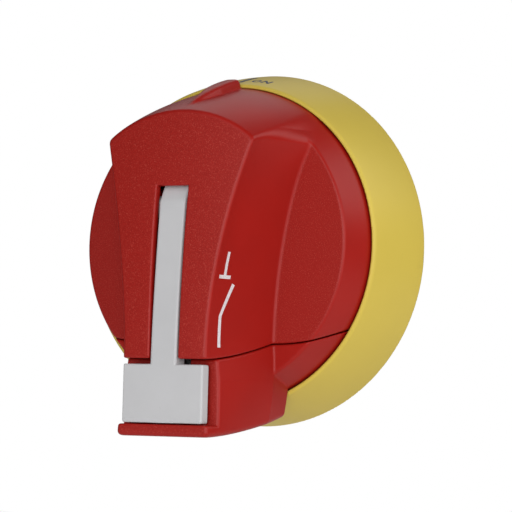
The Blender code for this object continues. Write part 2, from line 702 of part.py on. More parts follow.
def make_handle_cover(axle):
    plastic = material("red_plastic", RED, 0.42)
    back = PLATE_FRONT + GAP
    cover = grip_solid("handle_cover", back + BEYOND, 0, plastic, axle)
    cut(cover, ring_beyond_disc("cover_back_limit", back))
    keep(cover, top_solid("cover_top_limit", 0, back - BEYOND))
    join(cover, lathe("cover_disc", disc_outline(0, back, DISC_FACE)))
    join(cover, fin_solid("cover_fin"))
    cut(cover, seam_side("cover_seam_limit", False, SEAM_GAP / 2, PLATE_BACK, GRIP_FRONT + 6 * MM))
    hollow = grip_solid("cover_grip_hollow", back - BEYOND, SHELL_WALL)
    keep(hollow, top_solid("cover_top_hollow", SHELL_WALL, back - 2 * BEYOND))
    cut(cover, hollow)
    cut(cover, lathe("cover_disc_hollow", disc_outline(SHELL_WALL, back - BEYOND, DISC_FACE - SHELL_WALL)))
    boss_r, boss_front = SCREW_R + COVER_BOSS_WALL, DISC_FACE - SHELL_WALL / 2
    for i, centre in enumerate(cover_screw_centres()):
        join(cover, rod(f"cover_boss_{i}", boss_r, back, boss_front, centre))
    for i, side in enumerate((-1, 1)):
        limits = sorted((side * CHEEK_INNER_X, side * CHEEK_OUTER_X))
        cheek = box(
            f"cover_cheek_{i}",
            limits,
            (CHEEK_BACK, front_depth(CHEEK_OUTER_X, PIVOT_Z) - SHELL_WALL / 2),
            (PIVOT_Z - CHEEK_HALF_HEIGHT, PIVOT_Z + CHEEK_HALF_HEIGHT),
        )
        join(cover, cheek)
    pilot_end = PLATE_BACK + COVER_SCREW_LENGTH
    for i, centre in enumerate(cover_screw_centres()):
        cut(cover, rod(f"cover_pilot_{i}", SCREW_R + GAP, back - BEYOND, pilot_end, centre))
    reach = CHEEK_OUTER_X + BEYOND
    cut(cover, cross_rod("cover_pin_bore", PIN_R + GAP, -reach, reach, PIVOT_DEPTH, PIVOT_Z))
    cut(cover, slot_solid())
    relief = [(PIVOT_DEPTH - LEVER_HUB_R, PIVOT_Z), *lever_arm(ARM_CLEARANCE)]
    half = SLOT_TOP_HALF_WIDTH
    cut(cover, prism("cover_arm_relief", relief, -half, half, along_x))
    return cover


def ring_beyond_disc(name, back):
    """Clears what would stand over the collar: outside the disc's radius, behind the collar's front."""
    inner, outer = DISC_R, COLLAR_R + 15 * MM
    low, high = back - 2 * BEYOND, COLLAR_DEPTH + GAP
    return lathe(name, [(inner, low), (inner, high), (outer, high), (outer, low)])


def slot_solid():
    """The lever's slot in the front face, open at the cover's lower edge."""
    bottom = SEAM_FRONT_Z - 5 * MM
    slope = (SLOT_TOP_HALF_WIDTH - SLOT_BOTTOM_HALF_WIDTH) / (SLOT_TOP_Z - SEAM_FRONT_Z)
    low_half = SLOT_BOTTOM_HALF_WIDTH - slope * (SEAM_FRONT_Z - bottom)
    outline = [(-low_half, bottom), (low_half, bottom)]
    outline += [(SLOT_TOP_HALF_WIDTH, SLOT_TOP_Z), (-SLOT_TOP_HALF_WIDTH, SLOT_TOP_Z)]
    return prism("lever_slot", outline, CHEEK_BACK, GRIP_FRONT + 6 * MM, along_y)


def fin_solid(name):
    """The pointer: a ridge on the arched top that grows towards the collar."""
    rings = []
    steps = 8
    back = COLLAR_DEPTH + 1.5 * GAP
    for i in range(steps + 1):
        depth = FIN_FRONT + (back - FIN_FRONT) * i / steps
        share = i / steps
        foot = top_radius(depth) - 1.2 * MM
        ridge = top_radius(depth) + FIN_HEIGHT * min(1, 1.6 * share) * (1 - 0.06 * share) - 0.02 * MM
        half = FIN_HALF_WIDTH * (0.35 + 0.65 * min(1, 1.6 * share))
        section = [(-half, foot), (-half * 0.8, foot + (ridge - foot) * 0.6)]
        section += [(-half * 0.42, ridge - 0.25 * MM), (0, ridge)]
        section += [(-x, z) for x, z in reversed(section[:-1])]
        rings.append([(x, -depth, z) for x, z in section])
    return loft(name, rings)


def under_block(name, inset):
    """What lies below the block's curved underside, raised by inset."""
    depths = [LIP_FRONT + 5 * MM - 4 * MM * i for i in range(12)]
    outline = [(depth, block_bottom_z(depth) + inset) for depth in depths]
    outline += [(depths[-1], LIP_BOTTOM_Z - 8 * MM), (depths[0], LIP_BOTTOM_Z - 8 * MM)]
    return prism(name, outline, -COLLAR_R, COLLAR_R, along_x)


def make_handle_base(axle):
    plastic = material("red_plastic", RED, 0.42)
    base = grip_solid("handle_base", PLATE_BACK + BEYOND, 0, plastic, axle)
    cut(base, ring_beyond_disc("base_back_limit", PLATE_BACK))
    cut(base, under_block("base_bottom_limit", 0))
    join(base, lathe("base_disc", disc_outline(0, PLATE_BACK, DISC_FACE)))
    far = COLLAR_R + 14 * MM
    cut(base, seam_side("base_seam_limit", True, -SEAM_GAP / 2, PLATE_FRONT, GRIP_FRONT + 12 * MM))
    cut(base, box("base_front_limit", (-far, far), (TRAY_FRONT, GRIP_FRONT + 12 * MM), (LIP_TOP_Z, 0)))
    inner = (LIP_TOP_Z + 0.2 * MM, 0)
    hollow = grip_solid("base_block_hollow", BLOCK_BACK + SHELL_WALL, SHELL_WALL)
    keep(hollow, box("base_hollow_limit", (-far, far), (0, TRAY_FRONT - SHELL_WALL), inner))
    cut(hollow, under_block("base_hollow_bottom", SHELL_WALL))
    cut(base, hollow)
    half = LEVER_HALF_THICKNESS + WEB_CLEARANCE
    web = (BLOCK_BACK + SHELL_WALL + BEYOND, TRAY_FRONT + BEYOND)
    cut(base, box("base_web_slot", (-half, half), web, inner))
    well = disc_outline(SHELL_WALL, PLATE_FRONT + 0.2 * MM, DISC_FACE - SHELL_WALL)
    cut(base, lathe("base_disc_hollow", well))
    boss_r, boss_front = SCREW_R + SCREW_BOSS_WALL, HUB_SCREW_TIP + 2.4 * MM
    for i, centre in enumerate(hub_screw_centres()):
        join(base, rod(f"base_hub_boss_{i}", boss_r, PLATE_BACK + BEYOND, boss_front, centre))
    guide = (0, BOLT_ORBIT)
    guide_bore_r = BOLT_R + BOLT_CLEARANCE
    guide_r = guide_bore_r + GUIDE_WALL
    join(base, rod("base_guide", guide_r, PLATE_BACK + BEYOND, GUIDE_FRONT, guide))
    lug = ring_sector(
        "base_stop_lug",
        RING_TRACK_R + 0.6 * MM,
        RING_OUTER_R - 0.6 * MM,
        STOP_LUG_ANGLE,
        STOP_LUG_HALF_ANGLE,
        FLOOR_FRONT + RING_FLANGE + 3 * GAP,
        PLATE_BACK + BEYOND,
    )
    join(base, lug)
    hole_end = HUB_SCREW_TIP + 0.9 * MM
    for i, centre in enumerate(hub_screw_centres()):
        cut(base, rod(f"base_hub_hole_{i}", SCREW_R + GAP, PLATE_BACK - BEYOND, hole_end, centre))
    cut(base, rod("base_guide_bore", guide_bore_r, PLATE_BACK - BEYOND, GUIDE_FRONT + BEYOND, guide))
    for i, centre in enumerate(cover_screw_centres()):
        hole = rod(f"base_cover_hole_{i}", SCREW_R + GAP, PLATE_BACK - BEYOND, PLATE_FRONT + BEYOND, centre)
        cut(base, hole)
    return base


def make_cover_screws(axle):
    head_back = PLATE_BACK - GAP - SCREW_HEAD_HEIGHT
    for i, centre in enumerate(cover_screw_centres()):
        screw(f"cover_screw_{i + 1}", centre, head_back, True, COVER_SCREW_LENGTH, axle)


def make_hub(axle):
    metal = material("zinc_steel", STEEL, 0.35, 1.0)
    front = PLATE_BACK - GAP
    flange_back = front - HUB_FLANGE_THICKNESS
    half_groove = O_RING_WIRE_R + GAP
    clip_front = FLOOR_BACK - WASHER_THICKNESS - 2 * GAP
    clip_back = clip_front - CLIP_THICKNESS
    hub = lathe(
        "drive_hub",
        [
            (0, HUB_BACK),
            (HUB_R - HUB_CHAMFER, HUB_BACK),
            (HUB_R, HUB_BACK + HUB_CHAMFER),
            (HUB_R, clip_back - GAP),
            (CLIP_GROOVE_R, clip_back - GAP),
            (CLIP_GROOVE_R, clip_front + GAP),
            (HUB_R, clip_front + GAP),
            (HUB_R, O_RING_DEPTH - half_groove),
            (RING_GROOVE_R, O_RING_DEPTH - half_groove),
            (RING_GROOVE_R, O_RING_DEPTH + half_groove),
            (HUB_R, O_RING_DEPTH + half_groove),
            (HUB_R, flange_back),
            (HUB_FLANGE_R, flange_back),
            (HUB_FLANGE_R, front),
            (0, front),
        ],
        metal,
        axle,
        MIDDLE_ROUND,
    )
    half = SOCKET_SIDE / 2
    square = box("hub_socket", (-half, half), (HUB_BACK - BEYOND, SOCKET_END), (-half, half))
    wide = half + SOCKET_FUNNEL
    funnel = []
    for depth, reach in ((HUB_BACK - BEYOND, wide + BEYOND), (HUB_BACK + SOCKET_FUNNEL, half - 0.01 * MM)):
        funnel.append([(reach * x, -depth, reach * z) for x, z in ((-1, -1), (1, -1), (1, 1), (-1, 1))])
    cut(hub, square, loft("hub_funnel", funnel))
    for i, centre in enumerate(hub_screw_centres()):
        cut(hub, rod(f"hub_hole_{i}", SCREW_R + GAP, flange_back - BEYOND, front + BEYOND, centre))
        sink = SCREW_HEAD_R + GAP
        low, edge = flange_back - BEYOND, flange_back + COUNTERSINK_EDGE
        outline = [(0, low), (sink, low), (sink, edge)]
        outline += [(SCREW_R, edge + sink - SCREW_R), (0, edge + sink - SCREW_R)]
        cut(hub, lathe(f"hub_sink_{i}", outline, None, None, SMALL_ROUND, centre))
    for i, centre in enumerate(hub_screw_centres()):
        name = f"hub_screw_{i + 1}"
        screw(name, centre, flange_back, True, HUB_SCREW_LENGTH, axle, countersunk=True)

    rubber = material("black_rubber", DARK, 0.8)
    ring = arc((RING_GROOVE_R + GAP + O_RING_WIRE_R, O_RING_DEPTH), O_RING_WIRE_R, 0, 2 * pi, 6)[:-1]
    lathe("hub_o_ring", ring, rubber, axle, MIDDLE_ROUND)

    steel = material("spring_steel", STEEL, 0.3, 1.0)
    low, high = -pi / 2 + CLIP_OPENING, 3 * pi / 2 - CLIP_OPENING
    outside = arc((0, 0), CLIP_OUTER_R, low, high, 24)
    inside = arc((0, 0), CLIP_GROOVE_R + GAP, high, low, 24)
    prism("retaining_clip", outside + inside, clip_back, clip_front, along_y, steel, axle)
    washer_back, washer_front = clip_front + GAP, FLOOR_BACK - GAP
    hole = HUB_R + GAP
    outline = [(hole, washer_back), (hole, washer_front)]
    outline += [(WASHER_OUTER_R, washer_front), (WASHER_OUTER_R, washer_back)]
    lathe("thrust_washer", outline, steel, None, MIDDLE_ROUND)
    return hub


# ---- lever and bolt ----


def stem_front(z):
    """Depth of the lever's front at height z: level on the head, sloping back up the stem."""
    if z < HEAD_TOP_Z:
        return LEVER_HEAD_FRONT
    share = (z - HEAD_TOP_Z) / (PIVOT_Z - HEAD_TOP_Z)
    return LEVER_HEAD_FRONT + (LEVER_STEM_FRONT - LEVER_HEAD_FRONT) * share**1.5


def lever_arm(grow):
    """The lever's upper end, round the toe and then the hub, with both radii grown."""
    hub = (PIVOT_DEPTH, PIVOT_Z)
    toe = (TOE_DEPTH, BOLT_ORBIT)
    lean = atan2(toe[1] - hub[1], toe[0] - hub[0])
    spread = (LEVER_HUB_R - TOE_R) / hypot(toe[0] - hub[0], toe[1] - hub[1])
    half_turn = pi / 2 - spread
    round_toe = arc(toe, TOE_R + grow, lean + half_turn, lean - half_turn, 8)
    return round_toe + arc(hub, LEVER_HUB_R + grow, lean - half_turn, 0, 6)


def make_lever(hinge):
    plastic = material("grey_plastic", GREY, 0.45)
    hub = (PIVOT_DEPTH, PIVOT_Z)
    levels = [PIVOT_Z + (HEAD_TOP_Z - PIVOT_Z) * i / 8 for i in range(9)]
    front = [(stem_front(z), z) for z in levels] + [(LEVER_HEAD_FRONT, HEAD_BOTTOM_Z)]
    web_back = SHACKLE_BACK_BOTTOM - WEB_BACK_MARGIN
    head_back = LEVER_HEAD_FRONT - HEAD_THICKNESS
    sweep_r = PIVOT_Z - HEAD_BOTTOM_Z - GAP  # the web's lower edge swings over the tray's floor
    sweep = [head_back + (web_back - head_back) * i / 5 for i in range(6)]
    back = [
        (head_back, HEAD_BOTTOM_Z),
        *((depth, PIVOT_Z - sqrt(sweep_r**2 - (depth - PIVOT_DEPTH) ** 2)) for depth in sweep),
        (SHACKLE_BACK_TOP - WEB_BACK_MARGIN, SHACKLE_TOP_Z),
        (PIVOT_DEPTH - LEVER_HUB_R, PIVOT_Z - LEVER_HUB_R),
    ]
    outline = back + [(PIVOT_DEPTH - LEVER_HUB_R, PIVOT_Z)] + lever_arm(0) + front[1:]
    half = LEVER_HALF_THICKNESS
    lever = prism("padlock_lever", outline, -half, half, along_x, plastic, hinge)
    head = box(
        "lever_head",
        (-HEAD_HALF_WIDTH, HEAD_HALF_WIDTH),
        (head_back, LEVER_HEAD_FRONT + 0.01 * MM),
        (HEAD_BOTTOM_Z, HEAD_TOP_Z),
    )
    join(lever, head)
    sleeve_end = CHEEK_INNER_X - GAP
    join(lever, cross_rod("lever_sleeve", PIN_R + GAP + SLEEVE_WALL, -sleeve_end, 0, *hub))
    window = [
        (SHACKLE_BACK_BOTTOM, SHACKLE_BOTTOM_Z),
        (stem_front(SHACKLE_BOTTOM_Z) - LEVER_STEM_THICKNESS, SHACKLE_BOTTOM_Z),
        (stem_front(SHACKLE_TOP_Z) - LEVER_STEM_THICKNESS, SHACKLE_TOP_Z),
        (SHACKLE_BACK_TOP, SHACKLE_TOP_Z),
    ]
    reach = LEVER_HALF_THICKNESS + BEYOND
    cut(lever, prism("lever_window", window, -reach, reach, along_x))
    cut(lever, cross_rod("lever_bore", PIN_R + GAP, -CHEEK_OUTER_X, CHEEK_OUTER_X, *hub))
    return lever


def make_lever_pin(axle):
    steel = material("zinc_steel", STEEL, 0.35, 1.0)
    end = CHEEK_OUTER_X - GAP
    cross_rod("lever_pin", PIN_R, -end, end, PIVOT_DEPTH, PIVOT_Z, steel, axle)
    spring = material("spring_steel", STEEL, 0.3, 1.0)
    wire = LEVER_SPRING_WIRE_R
    coil(
        "lever_spring",
        (0, -PIVOT_DEPTH, PIVOT_Z),
        PIN_R + 2 * GAP + wire,
        wire,
        LEVER_HALF_THICKNESS + GAP + wire,
        CHEEK_INNER_X - GAP - wire,
        LEVER_SPRING_TURNS,
        (1, 0, 0),
        spring,
        axle,
    )


def make_bolt(slide, axle):
    steel = material("zinc_steel", STEEL, 0.35, 1.0)
    centre = (0, BOLT_ORBIT)
    head_front = TOE_DEPTH - TOE_R - GAP
    head_back = head_front - BOLT_HEAD_THICKNESS
    lathe(
        "locking_bolt",
        [
            (0, BOLT_TIP),
            (BOLT_R - BOLT_CHAMFER, BOLT_TIP),
            (BOLT_R, BOLT_TIP + BOLT_CHAMFER),
            (BOLT_R, head_back),
            (BOLT_HEAD_R, head_back),
            (BOLT_HEAD_R, head_front - BOLT_CHAMFER),
            (BOLT_HEAD_R - BOLT_CHAMFER, head_front),
            (0, head_front),
        ],
        steel,
        slide,
        SMALL_ROUND,
        centre,
    )
    spring = material("spring_steel", STEEL, 0.3, 1.0)
    wire = BOLT_SPRING_WIRE_R
    coil(
        "bolt_spring",
        (0, 0, BOLT_ORBIT),
        BOLT_R + 2 * GAP + wire,
        wire,
        GUIDE_FRONT + GAP + wire,
        head_back - GAP - wire,
        BOLT_SPRING_TURNS,
        (0, -1, 0),
        spring,
        axle,
    )


def main():
    for old in list(bpy.data.objects):
        bpy.data.objects.remove(old, do_unlink=True)
    axle = pivot("handle_axis", 0, 0, 0)
    hinge = pivot("lever_axis", 0, PIVOT_DEPTH, PIVOT_Z)
    slide = pivot("bolt_axis", 0, BOLT_TIP, BOLT_ORBIT)
    make_collar()
    make_gasket()
    make_inserts()
    make_catch_ring()
    make_ring_screws()
    make_handle_cover(axle)
    make_handle_base(axle)
    make_cover_screws(axle)
    make_hub(axle)
    make_lever(hinge)
    make_lever_pin(axle)
    make_bolt(slide, axle)


main()
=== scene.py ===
import json
from itertools import product
from math import atan, cos, hypot, pi, radians, sin

import bmesh
import bpy
import numpy as np
from mathutils import Matrix, Vector


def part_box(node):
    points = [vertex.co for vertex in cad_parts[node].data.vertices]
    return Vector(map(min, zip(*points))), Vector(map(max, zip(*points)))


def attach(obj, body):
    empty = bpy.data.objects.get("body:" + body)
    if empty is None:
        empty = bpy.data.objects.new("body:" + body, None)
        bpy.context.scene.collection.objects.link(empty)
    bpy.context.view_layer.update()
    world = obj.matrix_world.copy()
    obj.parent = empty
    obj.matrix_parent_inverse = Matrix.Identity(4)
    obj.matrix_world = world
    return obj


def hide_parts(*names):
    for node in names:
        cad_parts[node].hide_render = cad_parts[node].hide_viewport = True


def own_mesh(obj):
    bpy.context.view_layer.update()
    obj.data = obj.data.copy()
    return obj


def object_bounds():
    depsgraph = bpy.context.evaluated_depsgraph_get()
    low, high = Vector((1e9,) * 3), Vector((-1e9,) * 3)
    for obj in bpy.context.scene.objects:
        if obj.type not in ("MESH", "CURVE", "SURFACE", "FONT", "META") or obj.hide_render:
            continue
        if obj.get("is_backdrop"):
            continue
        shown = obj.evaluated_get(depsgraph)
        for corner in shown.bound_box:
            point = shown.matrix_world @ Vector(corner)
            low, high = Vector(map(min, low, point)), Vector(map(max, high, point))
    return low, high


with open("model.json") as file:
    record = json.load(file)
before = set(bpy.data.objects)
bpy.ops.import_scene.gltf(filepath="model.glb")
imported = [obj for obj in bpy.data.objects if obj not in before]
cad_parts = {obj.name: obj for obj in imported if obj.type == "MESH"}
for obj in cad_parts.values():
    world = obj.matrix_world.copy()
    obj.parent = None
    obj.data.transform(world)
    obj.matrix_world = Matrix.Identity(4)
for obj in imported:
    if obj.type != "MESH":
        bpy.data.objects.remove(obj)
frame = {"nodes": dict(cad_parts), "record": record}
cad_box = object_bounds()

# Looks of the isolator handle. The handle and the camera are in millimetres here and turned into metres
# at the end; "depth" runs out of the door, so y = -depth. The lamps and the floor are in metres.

MM = 0.001


def limits(node):
    """Lowest and highest x, depth and z of a CAD node, in millimetres."""
    low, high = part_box(node)
    return (low.x / MM, -high.y / MM, low.z / MM), (high.x / MM, -low.y / MM, high.z / MM)


COLLAR_LOW, COLLAR_HIGH = limits("collar")
COVER_LOW, COVER_HIGH = limits("handle_cover")
BASE_LOW, BASE_HIGH = limits("handle_base")
LEVER_LOW, LEVER_HIGH = limits("padlock_lever")
RING_LOW = limits("catch_ring")[0]
GASKET_HIGH = limits("door_gasket")[1]

GAP = 0.3
COLLAR_R = COLLAR_HIGH[0]
GASKET_WIDTH = 2.9
COLLAR_DEPTH = COLLAR_HIGH[1]
DISC_R = COVER_HIGH[0]
COLLAR_FRONT_R = DISC_R + 1.35
COLLAR_BULGE = 0.45
BORE_R = DISC_R + 0.4
FLOOR_FRONT = RING_LOW[1] - GAP
FLOOR_BACK = 3.0
BEARING_R = 10.3
BEARING_WALL = 3.7
BEARING_FRONT = 10.0
GROOVE_INNER = GASKET_HIGH[0] - GASKET_WIDTH - GAP
GROOVE_OUTER = GASKET_HIGH[0] + GAP
GROOVE_DEPTH = GASKET_HIGH[1] + GAP
BACK_WALL = 2.1
INSERT_ORBIT = 35.6
INSERT_R = 2.9
BOSS_R = 4.7
BOSS_FRONT = 11.0
INSERT_END = 8.9
RIBS = 6
RIB_HALF = 0.7
RIB_ORBIT = 27.0
RIB_HALF_LENGTH = 13.2
RIB_DEPTH = 2.3
RIB_HALF_DEPTH = 2.0
RING_SCREW_ORBIT = 28.4
RING_SCREW_ANGLES = (60, 140, 220)
SCREW_R = 1.45
SCREW_BOSS_WALL = 2.0
SCREW_BOSS_HALF_DEPTH = 1.7
SCREW_HOLE_GAP = 0.2
SCREW_HOLE_BACK = 2.0
INSERT_HOLE_GAP = 0.25

DISC_FACE = 29.15
DISC_FACE_R = 38.7
COVER_BACK = COVER_LOW[1]
BASE_BACK = 14.5
BASE_FRONT_PLATE = 17.0
WALL = 2.3
SLIT_HALF = 5.4
SLIT_Z = -35.0
SLIT_HALF_HEIGHT = 11.4
SLIT_BACK = 30.0
GUIDE_R = 4.7
GUIDE_BORE_R = 2.8
GUIDE_FRONT = 24.0

GRIP_FRONT = 53.1
GRIP_FRONT_DROP = 5.05
GRIP_FRONT_R = 33.83
CORNER_X = GRIP_FRONT_R * cos(radians(50))
CORNER_Z = GRIP_FRONT_R * sin(radians(50))
CORNER_DEPTH = GRIP_FRONT - GRIP_FRONT_DROP
FOOT_X = DISC_FACE_R * cos(radians(42.8))
FOOT_Z = DISC_FACE_R * sin(radians(42.8))
WAIST_Z = -31.0
WAIST_HALF_WIDTH = 12.26
FOOT_WAIST_Z = -26.0
FOOT_WAIST_HALF_WIDTH = 18.63
FACE_CURVE = 0.0035
CROWN_FADE = 14.0
TOP_BULGE = 0.6
TOP_BACK_R = BORE_R - 0.15
FLANK_SWELL = 2.75
FLANK_TUCK = 4.6
LIP_FRONT = 53.4
LIP_TOP_Z = -47.45
LIP_BOTTOM_Z = -50.6
BLOCK_BACK_Z = -44.8
TRAY_FRONT = 49.0

SEAM_HALF_GAP = GAP / 2
SEAM_FRONT_Z = -30.8
SEAM_FOOT_Z = -26.05
SEAM_RIM_Z = -24.5
SEAM_RISE = 0.0087

SLOT_TOP_Z = 13.9
SLOT_TOP_HALF = 4.63
SLOT_BOTTOM_HALF = 4.25
SLOT_BACK = 40.5
PIVOT_Z = 8.6
PIVOT_DEPTH = 46.5
PIN_BORE_R = 1.7
PIN_BORE_END = 9.8
CHEEK_X = 7.6
CHEEK_HALF = 1.2
CHEEK_HALF_HEIGHT = 4.5

FIN_FRONT = 44.9
FIN_HEIGHT = 2.64
FIN_HALF = 2.2
FIN_BACK = COLLAR_DEPTH + 0.45

LEVER_HALF = 3.85
HEAD_FRONT = LEVER_HIGH[1]
HEAD_THICKNESS = 3.4
HEAD_HALF = LEVER_HIGH[0]
HEAD_TOP_Z = -32.07
HEAD_BOTTOM_Z = LEVER_LOW[2]
STEM_FRONT = 51.2
STEM_THICKNESS = 4.6
LEVER_HUB_R = 4.7
SLEEVE_R = 3.0
SLEEVE_HALF_LENGTH = 3.05
TOE = (43.0, 21.5)
TOE_R = 1.9
WEB_BACK_LOW = 32.8
WEB_BACK_HIGH = 36.2
WEB_MARGIN = 3.2
WINDOW_REACH = 9.0
BOLT_WIRE_R = 0.35
BOLT_SPRING_TURNS = 6
LEVER_WIRE_R = 0.3
LEVER_SPRING_TURNS = 1.5
SHACKLE_TOP_Z = -20.5
SHACKLE_BOTTOM_Z = HEAD_BOTTOM_Z + 2.9

# A field that leans changes faster than a distance does. These bring it back to about 1 per mm.
WALL_STEEPNESS = 1.12
FACE_STEEPNESS = 1.01
SEAM_FLATTEN = 0.97  # this one multiplies

COVER_CELL = 0.4
LEVER_CELL = 0.25
COLLAR_CELL = 0.5


# ---- surfaces from fields ----


def smooth_max(a, b, radius):
    """The larger of two fields, rounded over where they are nearly equal."""
    near = np.maximum(radius - np.abs(a - b), 0)
    return np.maximum(a, b) + near * near / (4 * radius)


def smooth_min(a, b, radius):
    return -smooth_max(-a, -b, radius)


def gradient(field, points, step=0.02):
    slopes = []
    for axis in range(3):
        shift = np.zeros(3)
        shift[axis] = step
        ahead = field(*(points + shift).T)
        behind = field(*(points - shift).T)
        slopes.append((ahead - behind) / (2 * step))
    return np.stack(slopes, axis=1)


def surface_nets(value):
    """Points (in cells) and quads of the surface where a grid of values changes sign."""
    inside = value < 0
    shape = tuple(n - 1 for n in value.shape)
    count = np.zeros(shape, np.int8)
    for i, j, k in product((0, 1), repeat=3):
        count += inside[i : i + shape[0], j : j + shape[1], k : k + shape[2]]
    active = (count > 0) & (count < 8)
    cells = np.argwhere(active)
    index = np.full(shape, -1, np.int64)
    index[active] = np.arange(len(cells))
    total = np.zeros((len(cells), 3))
    hits = np.zeros(len(cells))
    for axis in range(3):
        for i, j in product((0, 1), repeat=2):
            start = np.insert(np.array([i, j]), axis, 0)
            end = np.insert(np.array([i, j]), axis, 1)
            low = value[tuple((cells + start).T)]
            high = value[tuple((cells + end).T)]
            crossed = (low < 0) != (high < 0)
            share = low[crossed] / (low[crossed] - high[crossed])
            total[crossed] += cells[crossed] + start + share[:, None] * (end - start)
            hits[crossed] += 1
    quads = []
    for axis in range(3):
        u, v = np.eye(3, dtype=np.int64)[[(axis + 1) % 3, (axis + 2) % 3]]
        low = np.take(inside, range(shape[axis]), axis)
        high = np.take(inside, range(1, shape[axis] + 1), axis)
        edges = np.argwhere(low != high)
        kept = np.all((edges >= u + v) & (edges < np.array(shape)), axis=1)
        edges = edges[kept]
        ring = [index[tuple((edges - shift).T)] for shift in (u + v, v, 0 * u, u)]
        quad = np.stack(ring, axis=1)
        outward = inside[tuple(edges.T)]
        quads.append(np.where(outward[:, None], quad, quad[:, ::-1]))
    return total / hits[:, None], np.concatenate(quads)


def iso_mesh(name, field, low, high, cell, grain_and_sheen=None):
    """The closed surface where field(x, depth, z) is 0. Each point moves onto it and takes its normal."""
    low = np.array(low) - 2.13 * cell
    high = np.array(high) + 2.13 * cell
    lines = [np.arange(a, b, cell) for a, b in zip(low, high)]
    x, depth, z = np.meshgrid(*lines, indexing="ij", sparse=True)
    value = np.broadcast_to(field(x, depth, z), tuple(map(len, lines)))
    points, quads = surface_nets(value)
    points = points * cell + low
    for _ in range(4):
        slope = gradient(field, points)
        push = (field(*points.T) / np.maximum((slope**2).sum(1), 0.2))[:, None] * slope
        length = np.linalg.norm(push, axis=1)
        push *= np.minimum(1, 0.4 * cell / np.maximum(length, 1e-9))[:, None]
        points -= push
    normals = gradient(field, points)
    normals /= np.linalg.norm(normals, axis=1)[:, None]
    return quad_mesh(name, points, quads[:, ::-1], normals, grain_and_sheen)


def quad_mesh(name, points, quads, normals=None, grain_and_sheen=None):
    """An object from points (x, depth, z) in millimetres and quads that face outwards in x, y, z."""
    mesh = bpy.data.meshes.new(name)
    mesh.vertices.add(len(points))
    turned = np.stack([points[:, 0], -points[:, 1], points[:, 2]], axis=1) * MM
    mesh.vertices.foreach_set("co", turned.astype(np.float32).ravel())
    mesh.loops.add(quads.size)
    mesh.loops.foreach_set("vertex_index", quads.astype(np.int32).ravel())
    mesh.polygons.add(len(quads))
    mesh.polygons.foreach_set("loop_start", np.arange(0, quads.size, 4, dtype=np.int32))
    mesh.polygons.foreach_set("loop_total", np.full(len(quads), 4, np.int32))
    mesh.update(calc_edges=True)
    mesh.validate()
    mesh.shade_smooth()
    # The optional mask marks the textured faces, which the red material also paints with a whiter red as
    # painted sheen.
    if grain_and_sheen is not None:
        layer = mesh.attributes.new("grain_and_sheen", "FLOAT", "POINT")
        layer.data.foreach_set("value", grain_and_sheen(points, normals).astype(np.float32))
    if normals is not None:
        turned = np.stack([normals[:, 0], -normals[:, 1], normals[:, 2]], axis=1)
        mesh.normals_split_custom_set_from_vertices(turned.astype(np.float32))
    made = bpy.data.objects.new(name, mesh)
    bpy.context.scene.collection.objects.link(made)
    return made


def finish_piece(piece, body, slot, finish, *nodes):
    piece.data.materials.clear()
    piece.data.materials.append(finish)
    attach(piece, body)
    if nodes:
        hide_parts(*nodes)
    return piece


def step_between(value, low, high):
    share = np.clip((value - low) / (high - low), 0, 1)
    return share * share * (3 - 2 * share)


# ---- the grip ----


def front_half_width(z):
    share = np.maximum((z - WAIST_Z) / (CORNER_Z - WAIST_Z), 0)
    above = WAIST_HALF_WIDTH + (CORNER_X - WAIST_HALF_WIDTH) * share**1.82
    return above + 0.058 * np.maximum(WAIST_Z - z, 0)


def front_edge_depth(z):
    share = np.maximum((z - WAIST_Z) / (CORNER_Z - WAIST_Z), 0)
    return GRIP_FRONT - GRIP_FRONT_DROP * share**2.3 + 0.018 * np.maximum(WAIST_Z - z, 0)


def front_depth(x, z):
    fade = np.clip(1 - (WAIST_Z - z) / CROWN_FADE, 0, 1)
    return front_edge_depth(z) + fade * FACE_CURVE * (front_half_width(z) ** 2 - x * x)


def block_share(z):
    return (FOOT_WAIST_Z - z) / (FOOT_WAIST_Z - LIP_BOTTOM_Z)


def foot_half_width(z):
    down = np.maximum(block_share(z), 0)
    up = np.clip((z - FOOT_WAIST_Z) / (FOOT_Z - FOOT_WAIST_Z), 0, 1)
    beyond = np.maximum(z - FOOT_Z, 0)
    wide = FOOT_WAIST_HALF_WIDTH + FLANK_SWELL * down - FLANK_TUCK * down**2
    rise = (FOOT_X - FOOT_WAIST_HALF_WIDTH) * (0.84 * up**2 + 0.16 * up**8)
    return wide + rise - np.minimum(2.0, 0.18 * beyond**2)


def rim_half_width(z):
    up = np.clip((z - FOOT_WAIST_Z) / (FOOT_Z - FOOT_WAIST_Z), 0, 1)
    low = foot_half_width(z) + 0.6 * np.clip(1 - block_share(z), 0, 1) ** 2
    middle = foot_half_width(z) + 0.6 - 0.14 * up
    return np.where(z < FOOT_WAIST_Z, low, np.where(z > FOOT_Z, FOOT_X + 0.46, middle))


def wall_hollow(z):
    below = np.maximum(0.85, 1 - 0.03 * (WAIST_Z - z))
    above = 1 + 0.75 * np.clip((z - WAIST_Z) / 25, 0, 1)
    return np.where(z < WAIST_Z, below, above)


def wall_half_width(depth, z):
    front = front_edge_depth(z)
    foot = foot_half_width(z)
    start = front_half_width(z)
    back_share = np.clip((DISC_FACE - depth) / (DISC_FACE - COLLAR_DEPTH), 0, 1)
    behind = foot + (rim_half_width(z) - foot) * back_share
    share = (front - depth) / (front - DISC_FACE)
    hollow = wall_hollow(z)
    beyond = hollow * np.minimum(share, 0)
    ahead = start + (foot - start) * np.where(share > 0, np.clip(share, 1e-6, 1) ** hollow, beyond * 0.3)
    return np.where(depth < DISC_FACE, behind, ahead)


def top_radius(depth):
    share = (depth - COLLAR_DEPTH) / (CORNER_DEPTH - COLLAR_DEPTH)
    straight = TOP_BACK_R + (GRIP_FRONT_R - TOP_BACK_R) * share
    return np.where(share > 0, straight + TOP_BULGE * 4 * share * (1 - share), TOP_BACK_R)


